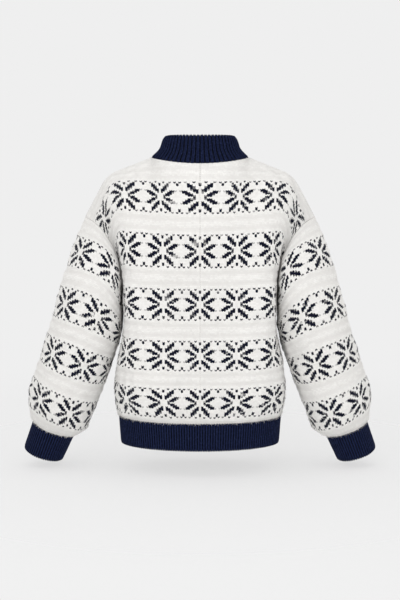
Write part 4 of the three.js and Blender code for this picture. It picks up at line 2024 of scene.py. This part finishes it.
@dataclass(frozen=True)
class Studio:
    """A pale floor that melts into an even grey room, soft lights and the camera."""

    grey: str = "#EFEFEF"
    floor_grey: str = "#E9E9E9"
    floor_drop: float = 0.014
    floor_size: float = 6.0
    floor_cover: float = 0.3  # how much of the light from below the floor keeps back
    fade_start: float = 0.55
    fade_end: float = 1.5
    camera_place: tuple[float, float, float] = (0.0, 3.1, 0.06)
    camera_aim: tuple[float, float, float] = (0.0, 0.0, -0.298)
    lens: float = 89.16
    lamps: tuple[Softbox, ...] = (
        Softbox("top_softbox", (0.2, 0.5, 2.2), side=1.8, power=9),
        Softbox("key_softbox", (0.8, 2.6, 0.5), side=1.6, power=18),
        Softbox("low_softbox", (-0.9, 2.2, -0.3), side=0.55, power=7),
    )

    def room(self) -> None:
        """Fills the room with even light."""
        world = bpy.data.worlds.new("studio")
        bpy.context.scene.world = world
        world.use_nodes = True
        world.node_tree.nodes["Background"].inputs["Color"].default_value = linear(self.grey)
        world.node_tree.nodes["Background"].inputs["Strength"].default_value = 1.0

    def floor(self) -> None:
        """Lays the floor just under the cuffs."""
        half, z = self.floor_size / 2, CAD_BOX[0].z - self.floor_drop
        mesh = bpy.data.meshes.new("floor")
        corners = [(-half, -half, z), (half, -half, z), (half, half, z), (-half, half, z)]
        mesh.from_pydata(corners, [], [(0, 1, 2, 3)])
        floor = add_object("floor", mesh)
        mesh.materials.append(self.floor_paint())

    def floor_paint(self) -> bpy.types.Material:
        """Matt painted board, fading out away from the middle.

        Returns:
            The material.
        """
        material = blank_material("matt_painted_board")
        tree = material.node_tree
        place = add_node(tree, "ShaderNodeTexCoord").outputs["Object"]
        flat = add_node(
            tree, "ShaderNodeVectorMath", {0: place, 1: (1, 1, 0)}, operation="MULTIPLY"
        ).outputs[0]
        away = add_node(tree, "ShaderNodeVectorMath", {0: flat}, operation="LENGTH").outputs["Value"]
        fade = add_node(
            tree,
            "ShaderNodeMapRange",
            {0: away, 1: self.fade_start, 2: self.fade_end, 3: 1 - self.floor_cover, 4: 1.0},
            interpolation_type="SMOOTHSTEP",
        ).outputs[0]
        paint = add_node(tree, "ShaderNodeBsdfDiffuse", {"Color": linear(self.floor_grey)}).outputs[0]
        clear = add_node(tree, "ShaderNodeBsdfTransparent").outputs[0]
        shader = add_node(tree, "ShaderNodeMixShader", {0: fade, 1: paint, 2: clear}).outputs[0]
        add_node(tree, "ShaderNodeOutputMaterial", {"Surface": shader})
        return material

    def aim(self, thing: bpy.types.Object, place: tuple[float, float, float]) -> None:
        """Puts a light or the camera in its place, facing the garment.

        Args:
            thing: The light or camera.
            place: Its place in metres.
        """
        thing.location = place
        ahead = Vector(self.camera_aim) - Vector(place)
        thing.rotation_euler = ahead.to_track_quat("-Z", "Y").to_euler()

    def lamp(self, box: Softbox) -> None:
        """Hangs a soft light that faces the garment.

        Args:
            box: The light.
        """
        data = bpy.data.lights.new(box.name, "AREA")
        data.shape = "SQUARE"
        data.size = box.side
        data.energy = box.power
        self.aim(add_object(box.name, data), box.place)

    def camera(self) -> None:
        """Sets up the camera behind the garment, a little above its middle."""
        data = bpy.data.cameras.new("camera")
        data.lens = self.lens
        camera = add_object("camera", data)
        self.aim(camera, self.camera_place)
        bpy.context.scene.camera = camera

    def build(self) -> None:
        """Sets up the studio."""
        bpy.context.scene.view_settings.view_transform = "Standard"
        self.room()
        self.floor()
        for box in self.lamps:
            self.lamp(box)
        self.camera()


def main() -> None:
    """Builds the pullover and its studio, piece by piece."""
    logging.basicConfig(level=logging.INFO, format="%(name)s: %(message)s")
    yarn = BrushedYarn().build()
    rib = RibYarn().build()
    ribs = RibTree().build()
    fibres = FibreTree().build()

    back_left, back_right, front = BodyPanels().build(yarn)
    sleeve_left, sleeve_right = Sleeve().build(yarn)
    hem = HemBand().build(ribs, rib)
    cuff_left, cuff_right = Cuffs().build(ribs, rib)
    collar = Collar().build(ribs, rib)
    seams = Seams().build(SeamTree().build(), SewingThread().build())
    sewn_on = {
        back_left.name: ["seam_of_centre_back"],
        front.name: ["seam_of_left_shoulder", "seam_of_right_shoulder"],
        sleeve_left.name: ["seam_of_left_armhole"],
        sleeve_right.name: ["seam_of_right_armhole"],
    }

    # The cut of each piece: its width and length in metres, and its area where it isn't square.
    cloth = (
        (front, "front", "knit", (0.532, 0.58), 0.26),
        (back_left, "back_left", "knit", (0.266, 0.6), 0.133),
        (back_right, "back_right", "knit", (0.266, 0.6), 0.133),
        (sleeve_left, "sleeve_left", "knit", (0.5, 0.43), 0.194),
        (sleeve_right, "sleeve_right", "knit", (0.5, 0.43), 0.194),
        (cuff_left, "cuff_left", "rib", (0.29, 0.06), None),
        (cuff_right, "cuff_right", "rib", (0.29, 0.06), None),
        (hem, "hem_band", "rib", (0.9, 0.056), None),
        (collar, "collar", "rib", (0.52, 0.06), None),
    )
    for seed, (piece, node, slot, flat, area) in enumerate(cloth):
        extras = [seams[name] for name in sewn_on.get(piece.name, [])]
        if slot == "knit":
            extras.append(Fleece().build(piece, fibres, yarn, seed))
        for part in (piece, *extras):
            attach(part, BODY)
            LOG.info("%s: %d faces", part.name, len(part.data.polygons))
        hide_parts(node)
    Studio().build()


if __name__ == "__main__":
    main()
